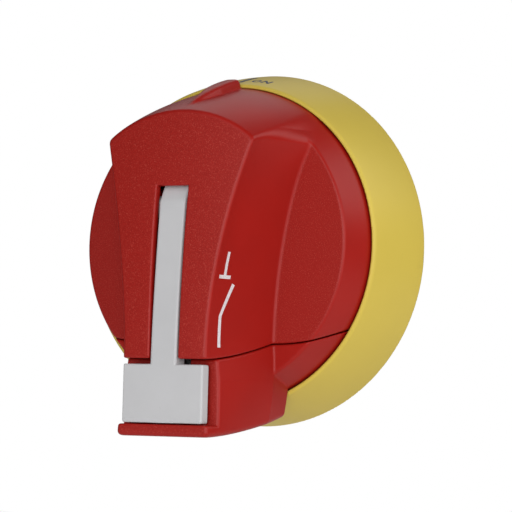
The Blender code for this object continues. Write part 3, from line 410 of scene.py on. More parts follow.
def grip_field(x, depth, z, arched):
    side = (np.abs(x) - wall_half_width(depth, z)) / WALL_STEEPNESS
    front = (depth - front_depth(x, z)) / FACE_STEEPNESS
    body = smooth_max(side, front, 1.0)
    if not arched:
        return body
    top = (np.hypot(x, np.maximum(z, 0)) - top_radius(depth)) / 1.05
    back_share = np.clip((CORNER_DEPTH + 2 - depth) / (CORNER_DEPTH - COLLAR_DEPTH), 0, 1)
    crease = smooth_max(side, top, 0.9 + 4.5 * back_share**2)
    return smooth_max(crease, front, 0.85)


def disc_field(x, depth, z):
    radius = np.hypot(x, z)
    slope = (DISC_R - DISC_FACE_R) / (DISC_FACE - COLLAR_DEPTH)
    cone = (radius - DISC_R + slope * (depth - COLLAR_DEPTH)) * cos(atan(slope))
    side = smooth_max(cone, radius - DISC_R, 0.5)
    return smooth_max(side, depth - DISC_FACE, 0.7)


def fin_field(x, depth, z):
    share = np.clip((FIN_FRONT - depth) / (FIN_FRONT - FIN_BACK), 0, 1)
    ridge = top_radius(depth) + FIN_HEIGHT * (1 - (1 - share) ** 2.2) - 0.03
    half = FIN_HALF * (0.25 + 0.75 * np.minimum(1, 1.8 * share)) + 0.22 * (ridge - z)
    side = (np.abs(x) - half) / 1.03
    lid = (z - ridge) / 1.1
    body = smooth_max(side, lid, 1.3)
    body = smooth_max(body, FIN_BACK - depth, 1.0)
    return np.maximum(body, np.maximum(depth - FIN_FRONT, top_radius(depth) - 1.5 - z))


def seam_z(x, depth):
    ahead = np.maximum((GRIP_FRONT - depth) / (GRIP_FRONT - DISC_FACE), 0)
    behind = (DISC_FACE - depth) / (DISC_FACE - COLLAR_DEPTH)
    level = np.where(
        depth > DISC_FACE,
        SEAM_FRONT_Z + (SEAM_FOOT_Z - SEAM_FRONT_Z) * ahead**1.55,
        SEAM_FOOT_Z + (SEAM_RIM_Z - SEAM_FOOT_Z) * behind,
    )
    return level + SEAM_RISE * np.maximum(np.abs(x) - FOOT_WAIST_HALF_WIDTH, 0) ** 2


def slot_field(x, depth, z):
    share = (z - SEAM_FRONT_Z) / (SLOT_TOP_Z - SEAM_FRONT_Z)
    half = SLOT_BOTTOM_HALF + (SLOT_TOP_HALF - SLOT_BOTTOM_HALF) * share
    return np.maximum(np.maximum(np.abs(x) - half, z - SLOT_TOP_Z), SLOT_BACK - depth)


def cover_field(x, depth, z):
    grip = grip_field(x, depth, z, True)
    disc = disc_field(x, depth, z)
    body = smooth_min(grip, disc, 0.7)
    shell = np.maximum(smooth_min(body, fin_field(x, depth, z), 0.45), -(np.minimum(grip, disc) + WALL))
    cheek = np.maximum(np.abs(np.abs(x) - CHEEK_X) - CHEEK_HALF, np.abs(z - PIVOT_Z) - CHEEK_HALF_HEIGHT)
    cheek = np.maximum(np.maximum(cheek, SLOT_BACK - depth), body + 0.5)
    shell = np.minimum(shell, cheek)
    shell = smooth_max(shell, (seam_z(x, depth) + SEAM_HALF_GAP - z) * SEAM_FLATTEN, 0.5)
    shell = smooth_max(shell, -slot_field(x, depth, z), 0.55)
    bore = np.hypot(depth - PIVOT_DEPTH, z - PIVOT_Z) - PIN_BORE_R
    shell = np.maximum(shell, -np.maximum(bore, np.abs(x) - PIN_BORE_END))
    return np.maximum(shell, COVER_BACK - depth)


def block_bottom_z(depth):
    share = np.maximum((LIP_FRONT - depth) / (LIP_FRONT - COLLAR_DEPTH), 0)
    return LIP_BOTTOM_Z + (BLOCK_BACK_Z - LIP_BOTTOM_Z) * share**1.6


def base_field(x, depth, z):
    side = (np.abs(x) - wall_half_width(depth, z)) / WALL_STEEPNESS
    lip_front = (depth - front_depth(x, z)) / FACE_STEEPNESS
    lip = smooth_max(lip_front, z - LIP_TOP_Z, 0.5)
    front = smooth_min(depth - TRAY_FRONT, lip, 0.3)
    block = smooth_max(smooth_max(side, front, 0.9), (block_bottom_z(depth) - z) * SEAM_FLATTEN, 1.4)
    block = smooth_max(block, COLLAR_DEPTH + GAP - depth, 0.5)
    disc = disc_field(x, depth, z)
    outer = smooth_min(block, disc, 0.5)
    block_room = np.maximum(block, depth - TRAY_FRONT) + WALL
    disc_room = np.maximum(disc, BASE_FRONT_PLATE + WALL - depth) + WALL
    inner = np.minimum(block_room, disc_room)
    shell = np.maximum(outer, -inner)
    slit = np.maximum(np.abs(x) - SLIT_HALF, np.abs(z - SLIT_Z) - SLIT_HALF_HEIGHT)
    shell = smooth_max(shell, -np.maximum(slit, SLIT_BACK - depth), 0.4)
    shell = smooth_max(shell, (z - seam_z(x, depth) + SEAM_HALF_GAP) * SEAM_FLATTEN, 0.45)
    plate = np.maximum(np.maximum(np.hypot(x, z) - DISC_R, depth - BASE_FRONT_PLATE), BASE_BACK - depth)
    guide = np.hypot(x, z - TOE[1])
    tube = np.maximum(np.maximum(guide - GUIDE_R, depth - GUIDE_FRONT), BASE_BACK - depth)
    shell = np.minimum(np.maximum(shell, BASE_BACK - depth), np.minimum(plate, tube))
    return np.maximum(shell, -(guide - GUIDE_BORE_R))


def collar_field(x, depth, z):
    radius = np.hypot(x, z)
    angle = np.arctan2(z, x)
    share = np.clip(depth / COLLAR_DEPTH, 0, 1)
    skirt_r = COLLAR_R + (COLLAR_FRONT_R - COLLAR_R) * share + COLLAR_BULGE * 4 * share * (1 - share)
    skirt = (radius - skirt_r) / 1.02
    ring = smooth_max(skirt, depth - COLLAR_DEPTH, 1.1)
    ring = smooth_max(ring, -depth, 0.7)
    ring = smooth_max(ring, -np.maximum(radius - BORE_R, FLOOR_FRONT - depth), 0.5)
    back = np.maximum(radius - (GROOVE_INNER - BACK_WALL), depth - FLOOR_BACK)
    floor_room = np.maximum(radius - (BEARING_R + BEARING_WALL), depth - BEARING_FRONT)
    solid = smooth_max(ring, -back, 0.3)
    hub = np.maximum(floor_room, FLOOR_BACK - depth)
    solid = np.minimum(solid, hub)
    off_middle = np.abs(radius - (GROOVE_INNER + GROOVE_OUTER) / 2)
    groove = np.maximum(off_middle - (GROOVE_OUTER - GROOVE_INNER) / 2, depth - GROOVE_DEPTH)
    solid = np.maximum(solid, -groove)
    turned = (angle - pi / RIBS) % (2 * pi / RIBS)
    turned = np.minimum(turned, 2 * pi / RIBS - turned)
    rib = np.maximum(radius * np.sin(turned) - RIB_HALF, np.abs(radius - RIB_ORBIT) - RIB_HALF_LENGTH)
    rib = np.maximum(rib, np.abs(depth - RIB_DEPTH) - RIB_HALF_DEPTH)
    solid = smooth_min(solid, rib, 0.4)
    for place in range(4):
        a = pi / 4 + pi / 2 * place
        boss = np.hypot(x - INSERT_ORBIT * cos(a), z - INSERT_ORBIT * sin(a))
        length = np.abs(depth - BOSS_FRONT / 2 - GAP / 2) - BOSS_FRONT / 2 + GAP / 2
        solid = smooth_min(solid, np.maximum(boss - BOSS_R, length), 0.4)
        solid = np.maximum(solid, -np.maximum(boss - INSERT_R - INSERT_HOLE_GAP, depth - INSERT_END))
    for degrees in RING_SCREW_ANGLES:
        a = radians(degrees)
        boss = np.hypot(x - RING_SCREW_ORBIT * cos(a), z - RING_SCREW_ORBIT * sin(a))
        length = np.abs(depth - RIB_DEPTH) - SCREW_BOSS_HALF_DEPTH
        solid = smooth_min(solid, np.maximum(boss - SCREW_R - SCREW_BOSS_WALL, length), 0.4)
        solid = np.maximum(solid, -np.maximum(boss - SCREW_R - SCREW_HOLE_GAP, SCREW_HOLE_BACK - depth))
    return np.maximum(solid, -(radius - BEARING_R))


# ---- the lever ----


def stem_front(z):
    share = np.clip((z - HEAD_TOP_Z) / (PIVOT_Z - HEAD_TOP_Z), 0, 1.2)
    return HEAD_FRONT + (STEM_FRONT - HEAD_FRONT) * share**1.5


def outline_distance(outline, u, v):
    """Signed distance from (u, v) to a closed outline, negative inside."""
    best = np.inf
    inside = False
    for (u1, v1), (u2, v2) in zip(outline, outline[1:] + outline[:1]):
        du, dv = u2 - u1, v2 - v1
        share = np.clip(((u - u1) * du + (v - v1) * dv) / (du * du + dv * dv), 0, 1)
        best = np.minimum(best, np.hypot(u - u1 - share * du, v - v1 - share * dv))
        crosses = (v1 > v) != (v2 > v)
        if dv:
            inside = inside ^ (crosses & (u < u1 + (v - v1) * du / dv))
    return np.where(inside, -best, best)


def arc(centre, radius, start, end, steps):
    turns = [start + (end - start) * i / steps for i in range(steps + 1)]
    return [(centre[0] + radius * cos(a), centre[1] + radius * sin(a)) for a in turns]


def lever_outline():
    hub = (PIVOT_DEPTH, PIVOT_Z)
    lean = np.arctan2(TOE[1] - hub[1], TOE[0] - hub[0])
    half_turn = pi / 2 - (LEVER_HUB_R - TOE_R) / hypot(TOE[0] - hub[0], TOE[1] - hub[1])
    levels = [PIVOT_Z + (HEAD_TOP_Z - PIVOT_Z) * i / 8 for i in range(1, 9)]
    front = [(float(stem_front(z)), z) for z in levels] + [(HEAD_FRONT, HEAD_BOTTOM_Z)]
    head_back = HEAD_FRONT - HEAD_THICKNESS
    sweep_r = PIVOT_Z - HEAD_BOTTOM_Z - GAP  # the web's lower edge swings over the tray's floor
    sweep = [head_back + (WEB_BACK_LOW - head_back) * i / 8 for i in range(9)]
    back = [(head_back, HEAD_BOTTOM_Z)]
    back += [(depth, PIVOT_Z - (sweep_r**2 - (depth - PIVOT_DEPTH) ** 2) ** 0.5) for depth in sweep]
    back += [(WEB_BACK_HIGH, SHACKLE_TOP_Z), (PIVOT_DEPTH - LEVER_HUB_R, PIVOT_Z - LEVER_HUB_R)]
    back += [(PIVOT_DEPTH - LEVER_HUB_R, PIVOT_Z)]
    toe = arc(TOE, TOE_R, lean + half_turn, lean - half_turn, 12)
    return back + toe + arc(hub, LEVER_HUB_R, lean - half_turn, 0, 12) + front


LEVER_OUTLINE = lever_outline()
WINDOW = [
    (WEB_BACK_LOW + WEB_MARGIN, SHACKLE_BOTTOM_Z),
    (float(stem_front(SHACKLE_BOTTOM_Z)) - STEM_THICKNESS, SHACKLE_BOTTOM_Z),
    (float(stem_front(SHACKLE_TOP_Z)) - STEM_THICKNESS, SHACKLE_TOP_Z),
    (WEB_BACK_HIGH + WEB_MARGIN, SHACKLE_TOP_Z),
]


def lever_field(x, depth, z):
    plate = outline_distance(LEVER_OUTLINE, depth, z)
    body = smooth_max(plate, np.abs(x) - LEVER_HALF, 0.75)
    tall = np.abs(z - (HEAD_TOP_Z + HEAD_BOTTOM_Z) / 2) - (HEAD_TOP_Z - HEAD_BOTTOM_Z) / 2
    thick = np.abs(depth - HEAD_FRONT + HEAD_THICKNESS / 2) - HEAD_THICKNESS / 2
    head = smooth_max(smooth_max(tall, thick, 0.5), np.abs(x) - HEAD_HALF, 0.55)
    body = np.minimum(body, head)
    axle = np.hypot(depth - PIVOT_DEPTH, z - PIVOT_Z)
    sleeve = np.maximum(axle - SLEEVE_R, np.abs(x + SLEEVE_HALF_LENGTH) - SLEEVE_HALF_LENGTH)
    body = np.minimum(body, sleeve)
    window = np.maximum(outline_distance(WINDOW, depth, z), np.abs(x) - WINDOW_REACH)
    body = smooth_max(body, -window, 0.6)
    return np.maximum(body, -(axle - PIN_BORE_R))


# ---- materials ----


def nodes_of(material):
    tree = material.node_tree
    return tree, tree.nodes["Principled BSDF"]


def new_material(name, roughness, metallic=0.0):
    made = bpy.data.materials.new(name)
    made.use_nodes = True
    _, shader = nodes_of(made)
    shader.inputs["Roughness"].default_value = roughness
    shader.inputs["Metallic"].default_value = metallic
    if not metallic:
        shader.inputs["Specular IOR Level"].default_value = PLASTIC_SPECULAR
    return made


def noise(tree, scale, detail=3.0, roughness=0.5):
    coords = tree.nodes.new("ShaderNodeTexCoord")
    made = tree.nodes.new("ShaderNodeTexNoise")
    made.inputs["Scale"].default_value = scale
    made.inputs["Detail"].default_value = detail
    made.inputs["Roughness"].default_value = roughness
    tree.links.new(coords.outputs["Object"], made.inputs["Vector"])
    return made.outputs["Fac"]


def ramp(tree, source, stops):
    made = tree.nodes.new("ShaderNodeValToRGB")
    made.color_ramp.elements[0].position = stops[0][0]
    made.color_ramp.elements[0].color = (*stops[0][1], 1)
    made.color_ramp.elements[1].position = stops[-1][0]
    made.color_ramp.elements[1].color = (*stops[-1][1], 1)
    for place, colour in stops[1:-1]:
        made.color_ramp.elements.new(place).color = (*colour, 1)
    tree.links.new(source, made.inputs["Fac"])
    return made.outputs["Color"]


def maths(tree, operation, *values):
    made = tree.nodes.new("ShaderNodeMath")
    made.operation = operation
    for socket, value in zip(made.inputs, values):
        if isinstance(value, (int, float)):
            socket.default_value = value
        else:
            tree.links.new(value, socket)
    return made.outputs["Value"]


def mix(tree, share, first, second):
    made = tree.nodes.new("ShaderNodeMix")
    made.data_type = "RGBA"
    tree.links.new(share, made.inputs["Factor"])
    for socket, value in ((made.inputs["A"], first), (made.inputs["B"], second)):
        if isinstance(value, tuple):
            socket.default_value = (*value, 1)
        else:
            tree.links.new(value, socket)
    return made.outputs["Result"]


def bump(tree, shader, height, strength, distance):
    made = tree.nodes.new("ShaderNodeBump")
    made.inputs["Distance"].default_value = distance
    if isinstance(strength, (int, float)):
        made.inputs["Strength"].default_value = strength
    else:
        tree.links.new(strength, made.inputs["Strength"])
    tree.links.new(height, made.inputs["Height"])
    tree.links.new(made.outputs["Normal"], shader.inputs["Normal"])


def shade(colour, factor):
    return tuple(channel * factor for channel in colour)


PLASTIC_SPECULAR = 0.25
RED = (0.335, 0.0082, 0.0047)
# The next two colours are painted light for the textured faces: a whiter red as painted sheen and bright
# red specks as painted glints.
RED_PAINTED_SHEEN = (0.335, 0.0125, 0.0085)
RED_PAINTED_GLINT = (0.42, 0.05, 0.036)


def red_plastic():
    """Moulded red: satin walls, and spark-eroded texture where the mesh says so, with a whiter red and
    bright specks there as painted sheen and painted glints.
    """
    made = new_material("red_plastic_moulded", 0.45)
    tree, shader = nodes_of(made)
    # The mask of textured faces drives bump and roughness, and also places the painted sheen colour.
    grain_and_sheen = tree.nodes.new("ShaderNodeAttribute")
    grain_and_sheen.attribute_name = "grain_and_sheen"
    grain_and_sheen = grain_and_sheen.outputs["Fac"]
    cloud = ramp(tree, noise(tree, 60, 3), [(0.3, shade(RED, 0.95)), (0.7, shade(RED, 1.05))])
    speck = noise(tree, 3600, 2, 0.6)
    # Painted sheen and painted glints: the textured faces get a whiter red with bright specks in their
    # base colour.
    painted_sheen_and_glint = ramp(tree, speck, [(0.36, shade(RED_PAINTED_SHEEN, 0.84)), (0.56, RED_PAINTED_SHEEN), (0.7, RED_PAINTED_GLINT)])
    tree.links.new(mix(tree, grain_and_sheen, cloud, painted_sheen_and_glint), shader.inputs["Base Color"])
    smooth_rough = maths(tree, "MULTIPLY_ADD", noise(tree, 45, 4), 0.08, 0.35)
    rough = maths(tree, "MULTIPLY_ADD", grain_and_sheen, 0.02, smooth_rough)
    tree.links.new(rough, shader.inputs["Roughness"])
    pits = maths(tree, "MULTIPLY", speck, grain_and_sheen)
    height = maths(tree, "ADD", pits, maths(tree, "MULTIPLY", noise(tree, 900, 2), 0.12))
    bump(tree, shader, height, 0.55, 0.00006)
    return made


YELLOW = (0.62, 0.47, 0.075)


def yellow_plastic():
    made = new_material("yellow_plastic_moulded", 0.42)
    tree, shader = nodes_of(made)
    cloud = ramp(tree, noise(tree, 35, 3), [(0.3, shade(YELLOW, 0.97)), (0.7, shade(YELLOW, 1.03))])
    smear = ramp(tree, noise(tree, 120, 5, 0.7), [(0.66, (0, 0, 0)), (0.8, (1, 1, 1))])
    dirt = maths(tree, "MULTIPLY", smear, 0.25)
    tree.links.new(mix(tree, dirt, cloud, shade(YELLOW, 0.62)), shader.inputs["Base Color"])
    tree.links.new(maths(tree, "MULTIPLY_ADD", noise(tree, 60, 4), 0.12, 0.36), shader.inputs["Roughness"])
    bump(tree, shader, noise(tree, 1200, 2), 0.15, 0.00004)
    return made


GREY = (0.53, 0.53, 0.54)


def grey_plastic():
    made = new_material("grey_plastic_moulded", 0.45)
    tree, shader = nodes_of(made)
    cloud = ramp(tree, noise(tree, 80, 3), [(0.3, shade(GREY, 0.97)), (0.7, shade(GREY, 1.03))])
    speck = ramp(tree, noise(tree, 700, 2, 0.7), [(0.74, (0, 0, 0)), (0.8, (1, 1, 1))])
    dirt = maths(tree, "MULTIPLY", speck, 0.3)
    tree.links.new(mix(tree, dirt, cloud, shade(GREY, 0.7)), shader.inputs["Base Color"])
    tree.links.new(maths(tree, "MULTIPLY_ADD", noise(tree, 70, 4), 0.12, 0.38), shader.inputs["Roughness"])
    bump(tree, shader, noise(tree, 1500, 2), 0.2, 0.00004)
    return made


def ink(name, colour):
    made = new_material(name, 0.5)
    tree, shader = nodes_of(made)
    worn = ramp(tree, noise(tree, 1800, 3), [(0.3, shade(colour, 0.85)), (0.7, shade(colour, 1.1))])
    tree.links.new(worn, shader.inputs["Base Color"])
    bump(tree, shader, noise(tree, 2500, 2), 0.2, 0.00003)
    return made


def dark_material(name, colour, roughness, scale):
    made = new_material(name, roughness)
    tree, shader = nodes_of(made)
    cloud = ramp(tree, noise(tree, scale, 4), [(0.3, shade(colour, 0.75)), (0.7, shade(colour, 1.35))])
    tree.links.new(cloud, shader.inputs["Base Color"])
    rough = maths(tree, "MULTIPLY_ADD", noise(tree, scale * 2, 3), 0.2, roughness - 0.1)
    tree.links.new(rough, shader.inputs["Roughness"])
    bump(tree, shader, noise(tree, scale * 8, 3), 0.3, 0.00005)
    return made


def metal(name, colour, roughness, stretch=(1, 14, 1)):
    """Plated or drawn metal with fine marks that run round the piece."""
    made = new_material(name, roughness, 1.0)
    tree, shader = nodes_of(made)
    coords = tree.nodes.new("ShaderNodeTexCoord")
    mapping = tree.nodes.new("ShaderNodeMapping")
    mapping.inputs["Scale"].default_value = stretch
    tree.links.new(coords.outputs["Object"], mapping.inputs["Vector"])
    streak = tree.nodes.new("ShaderNodeTexNoise")
    streak.inputs["Scale"].default_value = 350
    streak.inputs["Detail"].default_value = 4
    tree.links.new(mapping.outputs["Vector"], streak.inputs["Vector"])
    tint = ramp(tree, noise(tree, 180, 3), [(0.3, shade(colour, 0.88)), (0.7, shade(colour, 1.08))])
    tree.links.new(tint, shader.inputs["Base Color"])
    rough = maths(tree, "MULTIPLY_ADD", streak.outputs["Fac"], 0.22, roughness - 0.11)
    tree.links.new(rough, shader.inputs["Roughness"])
    bump(tree, shader, streak.outputs["Fac"], 0.25, 0.00003)
    return made


# ---- prints ----


INK_UNDER = -0.02
INK_OVER = 0.03
LETTER_Z = 4.0
LETTER_TALL = 3.2
LETTER_WIDE = 2.6
LETTER_STROKE = 0.6


def slab(points, quads, grid):
    """Adds a closed slab over a grid of (lower, upper) point pairs: grid[i][j] = (under, over)."""
    rows, columns = len(grid), len(grid[0])
    start = len(points)
    for row in grid:
        for under, over in row:
            points += [under, over]

    def at(i, j, upper):
        return start + 2 * (i * columns + j) + upper

    for i in range(rows - 1):
        for j in range(columns - 1):
            quads.append([at(i, j, 1), at(i + 1, j, 1), at(i + 1, j + 1, 1), at(i, j + 1, 1)])
            quads.append([at(i, j, 0), at(i, j + 1, 0), at(i + 1, j + 1, 0), at(i + 1, j, 0)])
    for i in range(rows - 1):
        quads.append([at(i, 0, 0), at(i + 1, 0, 0), at(i + 1, 0, 1), at(i, 0, 1)])
        end = columns - 1
        quads.append([at(i, end, 1), at(i + 1, end, 1), at(i + 1, end, 0), at(i, end, 0)])
    for j in range(columns - 1):
        quads.append([at(0, j, 1), at(0, j + 1, 1), at(0, j + 1, 0), at(0, j, 0)])
        end = rows - 1
        quads.append([at(end, j, 0), at(end, j + 1, 0), at(end, j + 1, 1), at(end, j, 1)])


def printed(name, patches, place, steps=8):
    """Ink on a curved surface: a patch maps the unit square to the flat drawing, place() puts it on."""
    points, quads = [], []
    for patch in patches:
        grid = []
        for i in range(steps + 1):
            row = []
            for j in range(steps + 1):
                u, v = patch(i / steps, j / steps)
                row.append((place(u, v, INK_UNDER), place(u, v, INK_OVER)))
            grid.append(row)
        slab(points, quads, grid)
    made = quad_mesh(name, np.array(points, float), np.array(quads))
    mesh = made.data
    outwards(mesh)
    mesh.shade_flat()
    return made


def bar(a, b, c, d):
    """A four-sided patch from its corners, in order round it."""

    def patch(s, t):
        low = (a[0] + (b[0] - a[0]) * s, a[1] + (b[1] - a[1]) * s)
        high = (d[0] + (c[0] - d[0]) * s, d[1] + (c[1] - d[1]) * s)
        return low[0] + (high[0] - low[0]) * t, low[1] + (high[1] - low[1]) * t

    return patch


def rectangle(u1, u2, v1, v2):
    return bar((u1, v1), (u2, v1), (u2, v2), (u1, v2))


def ring_patch(u, v, half_width, half_height, stroke, start, end):
    """Part of an oval ring."""

    def patch(s, t):
        angle = start + (end - start) * s
        grow = -stroke * t
        return u + (half_width + grow) * cos(angle), v + (half_height + grow) * sin(angle)

    return patch


def letter_o(u, v, width, height, stroke):
    turns = [2 * pi * i / 4 for i in range(5)]
    middle = (u + width / 2, v + height / 2)
    return [ring_patch(*middle, width / 2, height / 2, stroke, a, b) for a, b in zip(turns, turns[1:])]


def letter_n(u, v, width, height, stroke):
    right = u + width
    inner, high, low = u + stroke, v + height, v + height * 0.62
    slant = bar((inner, high), (inner, low), (right - stroke, v), (right - stroke, v + high - low))
    return [rectangle(u, inner, v, high), rectangle(right - stroke, right, v, high), slant]


def letter_f(u, v, width, height, stroke):
    return [
        rectangle(u, u + stroke, v, v + height),
        rectangle(u + stroke, u + width, v + height - stroke, v + height),
        rectangle(u + stroke, u + width * 0.85, v + height * 0.45, v + height * 0.45 + stroke),
    ]


def on_skirt(turn):
    """Places flat drawings on the skirt: u runs round it, v towards the door."""

    def place(u, v, lift):
        depth = COLLAR_DEPTH - v
        share = depth / COLLAR_DEPTH
        straight = COLLAR_R + (COLLAR_FRONT_R - COLLAR_R) * share
        radius = straight + COLLAR_BULGE * 4 * share * (1 - share) + lift
        angle = turn - u / radius
        return radius * cos(angle), depth, radius * sin(angle)

    return place


def make_prints(dark, white):
    size = (LETTER_TALL, LETTER_STROKE)
    on = [rectangle(-0.8, 0.8, 3.0, 12.0)]
    on += letter_o(2.6, LETTER_Z, LETTER_WIDE, *size) + letter_n(5.7, LETTER_Z, 2.5, *size)
    mark = printed("print_on", on, on_skirt(pi / 2))
    finish_piece(mark, "fixed", "yellow_plastic", dark)
    off = letter_o(-2.4, 3.0, 4.8, 7.5, 1.3)
    off += letter_o(3.6, LETTER_Z, LETTER_WIDE, *size)
    for along in (6.7, 9.3):
        off += letter_f(along, LETTER_Z, 2.1, *size)
    mark = printed("print_off", off, on_skirt(pi))
    finish_piece(mark, "fixed", "yellow_plastic", dark)

    def on_wall(u, v, lift):
        depth = front_edge_depth(v) - u
        return float(wall_half_width(depth, v)) + lift, float(depth), v

    symbol = [
        rectangle(4.2, 5.2, -27.5, -19.5),
        rectangle(4.2, 5.2, -9.0, -3.0),
        rectangle(2.4, 7.0, -9.9, -9.0),
        bar((4.2, -19.5), (5.2, -19.5), (9.0, -11.4), (8.0, -11.0)),
    ]
    sign = printed("print_symbol", symbol, on_wall, 12)
    finish_piece(sign, "handle", "red_plastic", white)


# ---- pieces ----


def front_grain_and_sheen(points, normals, least_depth):
    """1 on faces that look forwards and lie in front of a depth, 0 on the satin walls; the red material
    gives these faces texture and a painted sheen.
    """
    return step_between(normals[:, 1], 0.93, 0.965) * (points[:, 1] > least_depth)


def cover_grain_and_sheen(points, normals):
    return front_grain_and_sheen(points, normals, DISC_FACE - 1)


def base_grain_and_sheen(points, normals):
    return front_grain_and_sheen(points, normals, TRAY_FRONT - 4)


def make_shells(red, yellow, grey):
    collar = iso_mesh("collar_moulding", collar_field, COLLAR_LOW, COLLAR_HIGH, COLLAR_CELL)
    finish_piece(collar, "fixed", "yellow_plastic", yellow, "collar")
    cover = iso_mesh("cover_moulding", cover_field, COVER_LOW, COVER_HIGH, COVER_CELL, cover_grain_and_sheen)
    finish_piece(cover, "handle", "red_plastic", red, "handle_cover")
    base_low = (BASE_LOW[0], BASE_BACK, BASE_LOW[2])
    base = iso_mesh("base_moulding", base_field, base_low, BASE_HIGH, COVER_CELL, base_grain_and_sheen)
    finish_piece(base, "handle", "red_plastic", red, "handle_base")
    lever = iso_mesh("lever_moulding", lever_field, LEVER_LOW, LEVER_HIGH, LEVER_CELL)
    finish_piece(lever, "lever", "grey_plastic", grey, "padlock_lever")


COIL_STEPS = 32


def coil_mesh(name, start, end, radius, wire, turns, place):
    """A closed coil of round wire; place(along, across, third) turns its own axes into x, depth, z."""
    sides = 8
    count = int(turns * COIL_STEPS)
    points, quads = [], []
    for i in range(count + 1):
        share = i / count
        angle = 2 * pi * turns * share
        for k in range(sides):
            bend = 2 * pi * k / sides
            reach = radius + wire * cos(bend)
            along = start + (end - start) * share + wire * sin(bend)
            points.append(place(along, reach * cos(angle), reach * sin(angle)))
    for i in range(count):
        for k in range(sides):
            low, high, after = i * sides, (i + 1) * sides, (k + 1) % sides
            quads.append([low + k, low + after, high + after, high + k])
    last = count * sides
    for first in (0, last):
        ends = [[0, 1, 2, 3], [0, 3, 4, 7], [4, 5, 6, 7]]
        quads += [[first + corner for corner in (quad[::-1] if first else quad)] for quad in ends]
    made = quad_mesh(name, np.array(points, float), np.array(quads))
    outwards(made.data)
    return made


def outwards(mesh):
    shape = bmesh.new()
    shape.from_mesh(mesh)
    bmesh.ops.recalc_face_normals(shape, faces=shape.faces)
    shape.to_mesh(mesh)
    shape.free()


def make_springs(steel):
    low, high = limits("bolt_spring")
    spring = coil_mesh(
        "bolt_return_spring",
        low[1] + BOLT_WIRE_R,
        high[1] - BOLT_WIRE_R,
        high[0] - BOLT_WIRE_R,
        BOLT_WIRE_R,
        BOLT_SPRING_TURNS,
        lambda along, across, third: (third, along, TOE[1] + across),
    )
    finish_piece(spring, "handle", "spring_steel", steel, "bolt_spring")
    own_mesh(spring)
    low, high = limits("lever_spring")
    spring = coil_mesh(
        "lever_return_spring",
        low[0] + LEVER_WIRE_R,
        high[0] - LEVER_WIRE_R,
        high[2] - PIVOT_Z - LEVER_WIRE_R,
        LEVER_WIRE_R,
        LEVER_SPRING_TURNS,
        lambda along, across, third: (along, PIVOT_DEPTH - third, PIVOT_Z + across),
    )
    finish_piece(spring, "handle", "spring_steel", steel, "lever_spring")


def dress_frame():
    """Better materials for the CAD nodes that stay."""
    rubber = dark_material("sealing_rubber", (0.022, 0.022, 0.024), 0.75, 90)
    nylon = dark_material("moulded_nylon", (0.03, 0.03, 0.032), 0.5, 140)
    zinc = metal("zinc_plate", (0.60, 0.60, 0.59), 0.34)
    spring = metal("spring_wire", (0.62, 0.61, 0.60), 0.26)
    brass = metal("turned_brass", (0.66, 0.47, 0.18), 0.28)
    finishes = {"black_rubber": rubber, "black_nylon": nylon, "brass": brass}
    finishes.update(zinc_steel=zinc, spring_steel=spring)
    for part in frame["record"]["subparts"]:
        finish = finishes.get(part["material_slot"])
        node = frame["nodes"][part["node"]]
        if finish:
            node.data.materials.clear()
            node.data.materials.append(finish)
    make_springs(spring)


# ---- studio ----


CAMERA_AZIMUTH = 29.2
CAMERA_ELEVATION = -2.9
CAMERA_ROLL = -1.5
CAMERA_DISTANCE = 850.0
CAMERA_LENS = 226.5
AIM_DEPTH = 25.0
AIM_RIGHT = 9.15
AIM_UP = -2.52


def make_camera():
    a, e, r = radians(CAMERA_AZIMUTH), radians(CAMERA_ELEVATION), radians(CAMERA_ROLL)
    back = Vector((sin(a) * cos(e), -cos(a) * cos(e), sin(e)))
    right = Vector((cos(a), sin(a), 0))
    up = back.cross(right)
    target = Vector((0, -AIM_DEPTH, 0)) + AIM_RIGHT * right + AIM_UP * up
    rolled_right = cos(r) * right - sin(r) * up
    rolled_up = sin(r) * right + cos(r) * up
    turn = Matrix((rolled_right, rolled_up, back)).transposed().to_4x4()
    data = bpy.data.cameras.new("camera")
    data.lens = CAMERA_LENS
    data.sensor_width = 36
    data.clip_end = 20
    camera = bpy.data.objects.new("camera", data)
    camera.matrix_world = Matrix.Translation((target + CAMERA_DISTANCE * back) * MM) @ turn
    bpy.context.scene.collection.objects.link(camera)
    bpy.context.scene.camera = camera


# Softboxes round the handle: name, azimuth (0 is straight in front, more to the right), elevation, watts.
SOFTBOXES = (
    ("front", 18, 8, 7.0),
    ("side", 62, 8, 5.0),
    ("rear_right", 115, 35, 3.6),
    ("front_high", -5, 45, 1.9),
    ("rear_left", -150, 45, 1.2),
)
SOFTBOX_SIDE = 0.7
SOFTBOX_REACH = 1.2
SOFTBOX_CENTRE = (0, -0.03, 0)
SKY_STRENGTH = 0.1
FLOOR_GLOW = 0.24
FLOOR_HALF = 0.45
FLOOR_Z = -0.09


def softbox(name, azimuth, elevation, watts):
    """A square lamp that faces the handle from an azimuth and an elevation."""
    data = bpy.data.lights.new(name, "AREA")
    data.size = SOFTBOX_SIDE
    data.energy = watts
    out = Vector((sin(azimuth) * cos(elevation), -cos(azimuth) * cos(elevation), sin(elevation)))
    made = bpy.data.objects.new(name, data)
    made.location = Vector(SOFTBOX_CENTRE) + out * SOFTBOX_REACH
    made.rotation_euler = (-out).to_track_quat("-Z", "Y").to_euler()
    bpy.context.scene.collection.objects.link(made)


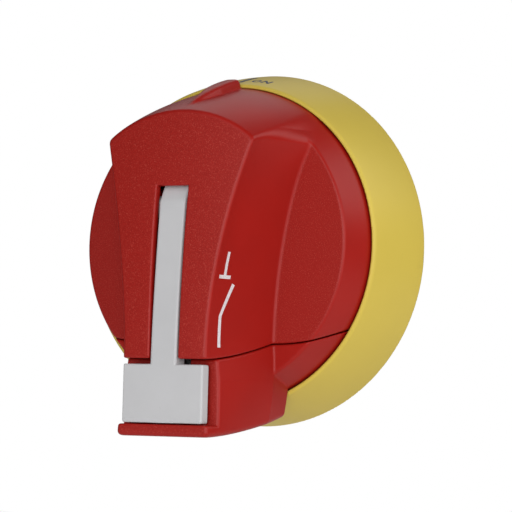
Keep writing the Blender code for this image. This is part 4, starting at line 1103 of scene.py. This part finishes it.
def make_studio():
    scene = bpy.context.scene
    scene.view_settings.view_transform = "Standard"
    world = bpy.data.worlds.new("studio")
    scene.world = world
    world.use_nodes = True
    tree = world.node_tree
    sky = tree.nodes["Background"]
    sky.inputs["Color"].default_value = (1, 1, 1, 1)
    sky.inputs["Strength"].default_value = SKY_STRENGTH
    white = tree.nodes.new("ShaderNodeBackground")
    white.inputs["Color"].default_value = (1, 1, 1, 1)
    path = tree.nodes.new("ShaderNodeLightPath")
    choose = tree.nodes.new("ShaderNodeMixShader")
    tree.links.new(path.outputs["Is Camera Ray"], choose.inputs["Fac"])
    tree.links.new(sky.outputs["Background"], choose.inputs[1])
    tree.links.new(white.outputs["Background"], choose.inputs[2])
    tree.links.new(choose.outputs["Shader"], tree.nodes["World Output"].inputs["Surface"])
    for name, azimuth, elevation, watts in SOFTBOXES:
        softbox(name, radians(azimuth), radians(elevation), watts)

    mesh = bpy.data.meshes.new("studio_floor")
    signs = ((-1, -1), (1, -1), (1, 1), (-1, 1))
    corners = [(a * FLOOR_HALF, b * FLOOR_HALF, FLOOR_Z) for a, b in signs]
    mesh.from_pydata(corners, [], [(0, 1, 2, 3)])
    floor = bpy.data.objects.new("studio_floor", mesh)
    scene.collection.objects.link(floor)
    paper = new_material("pale_paper", 0.9)
    tree, shader = nodes_of(paper)
    pale = ramp(tree, noise(tree, 8, 2), [(0.3, (0.80, 0.80, 0.80)), (0.7, (0.83, 0.83, 0.83))])
    tree.links.new(pale, shader.inputs["Base Color"])
    shader.inputs["Emission Color"].default_value = (1, 1, 1, 1)
    shader.inputs["Emission Strength"].default_value = FLOOR_GLOW
    mesh.materials.append(paper)
    floor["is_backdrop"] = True


def write_sizes():
    final_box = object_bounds()
    sizes = [[list(map(float, corner)) for corner in box] for box in (cad_box, final_box)]


make_camera()
make_studio()
make_shells(red_plastic(), yellow_plastic(), grey_plastic())
dress_frame()
make_prints(ink("dark_ink", (0.05, 0.055, 0.09)), ink("white_ink", (0.72, 0.66, 0.68)))
write_sizes()
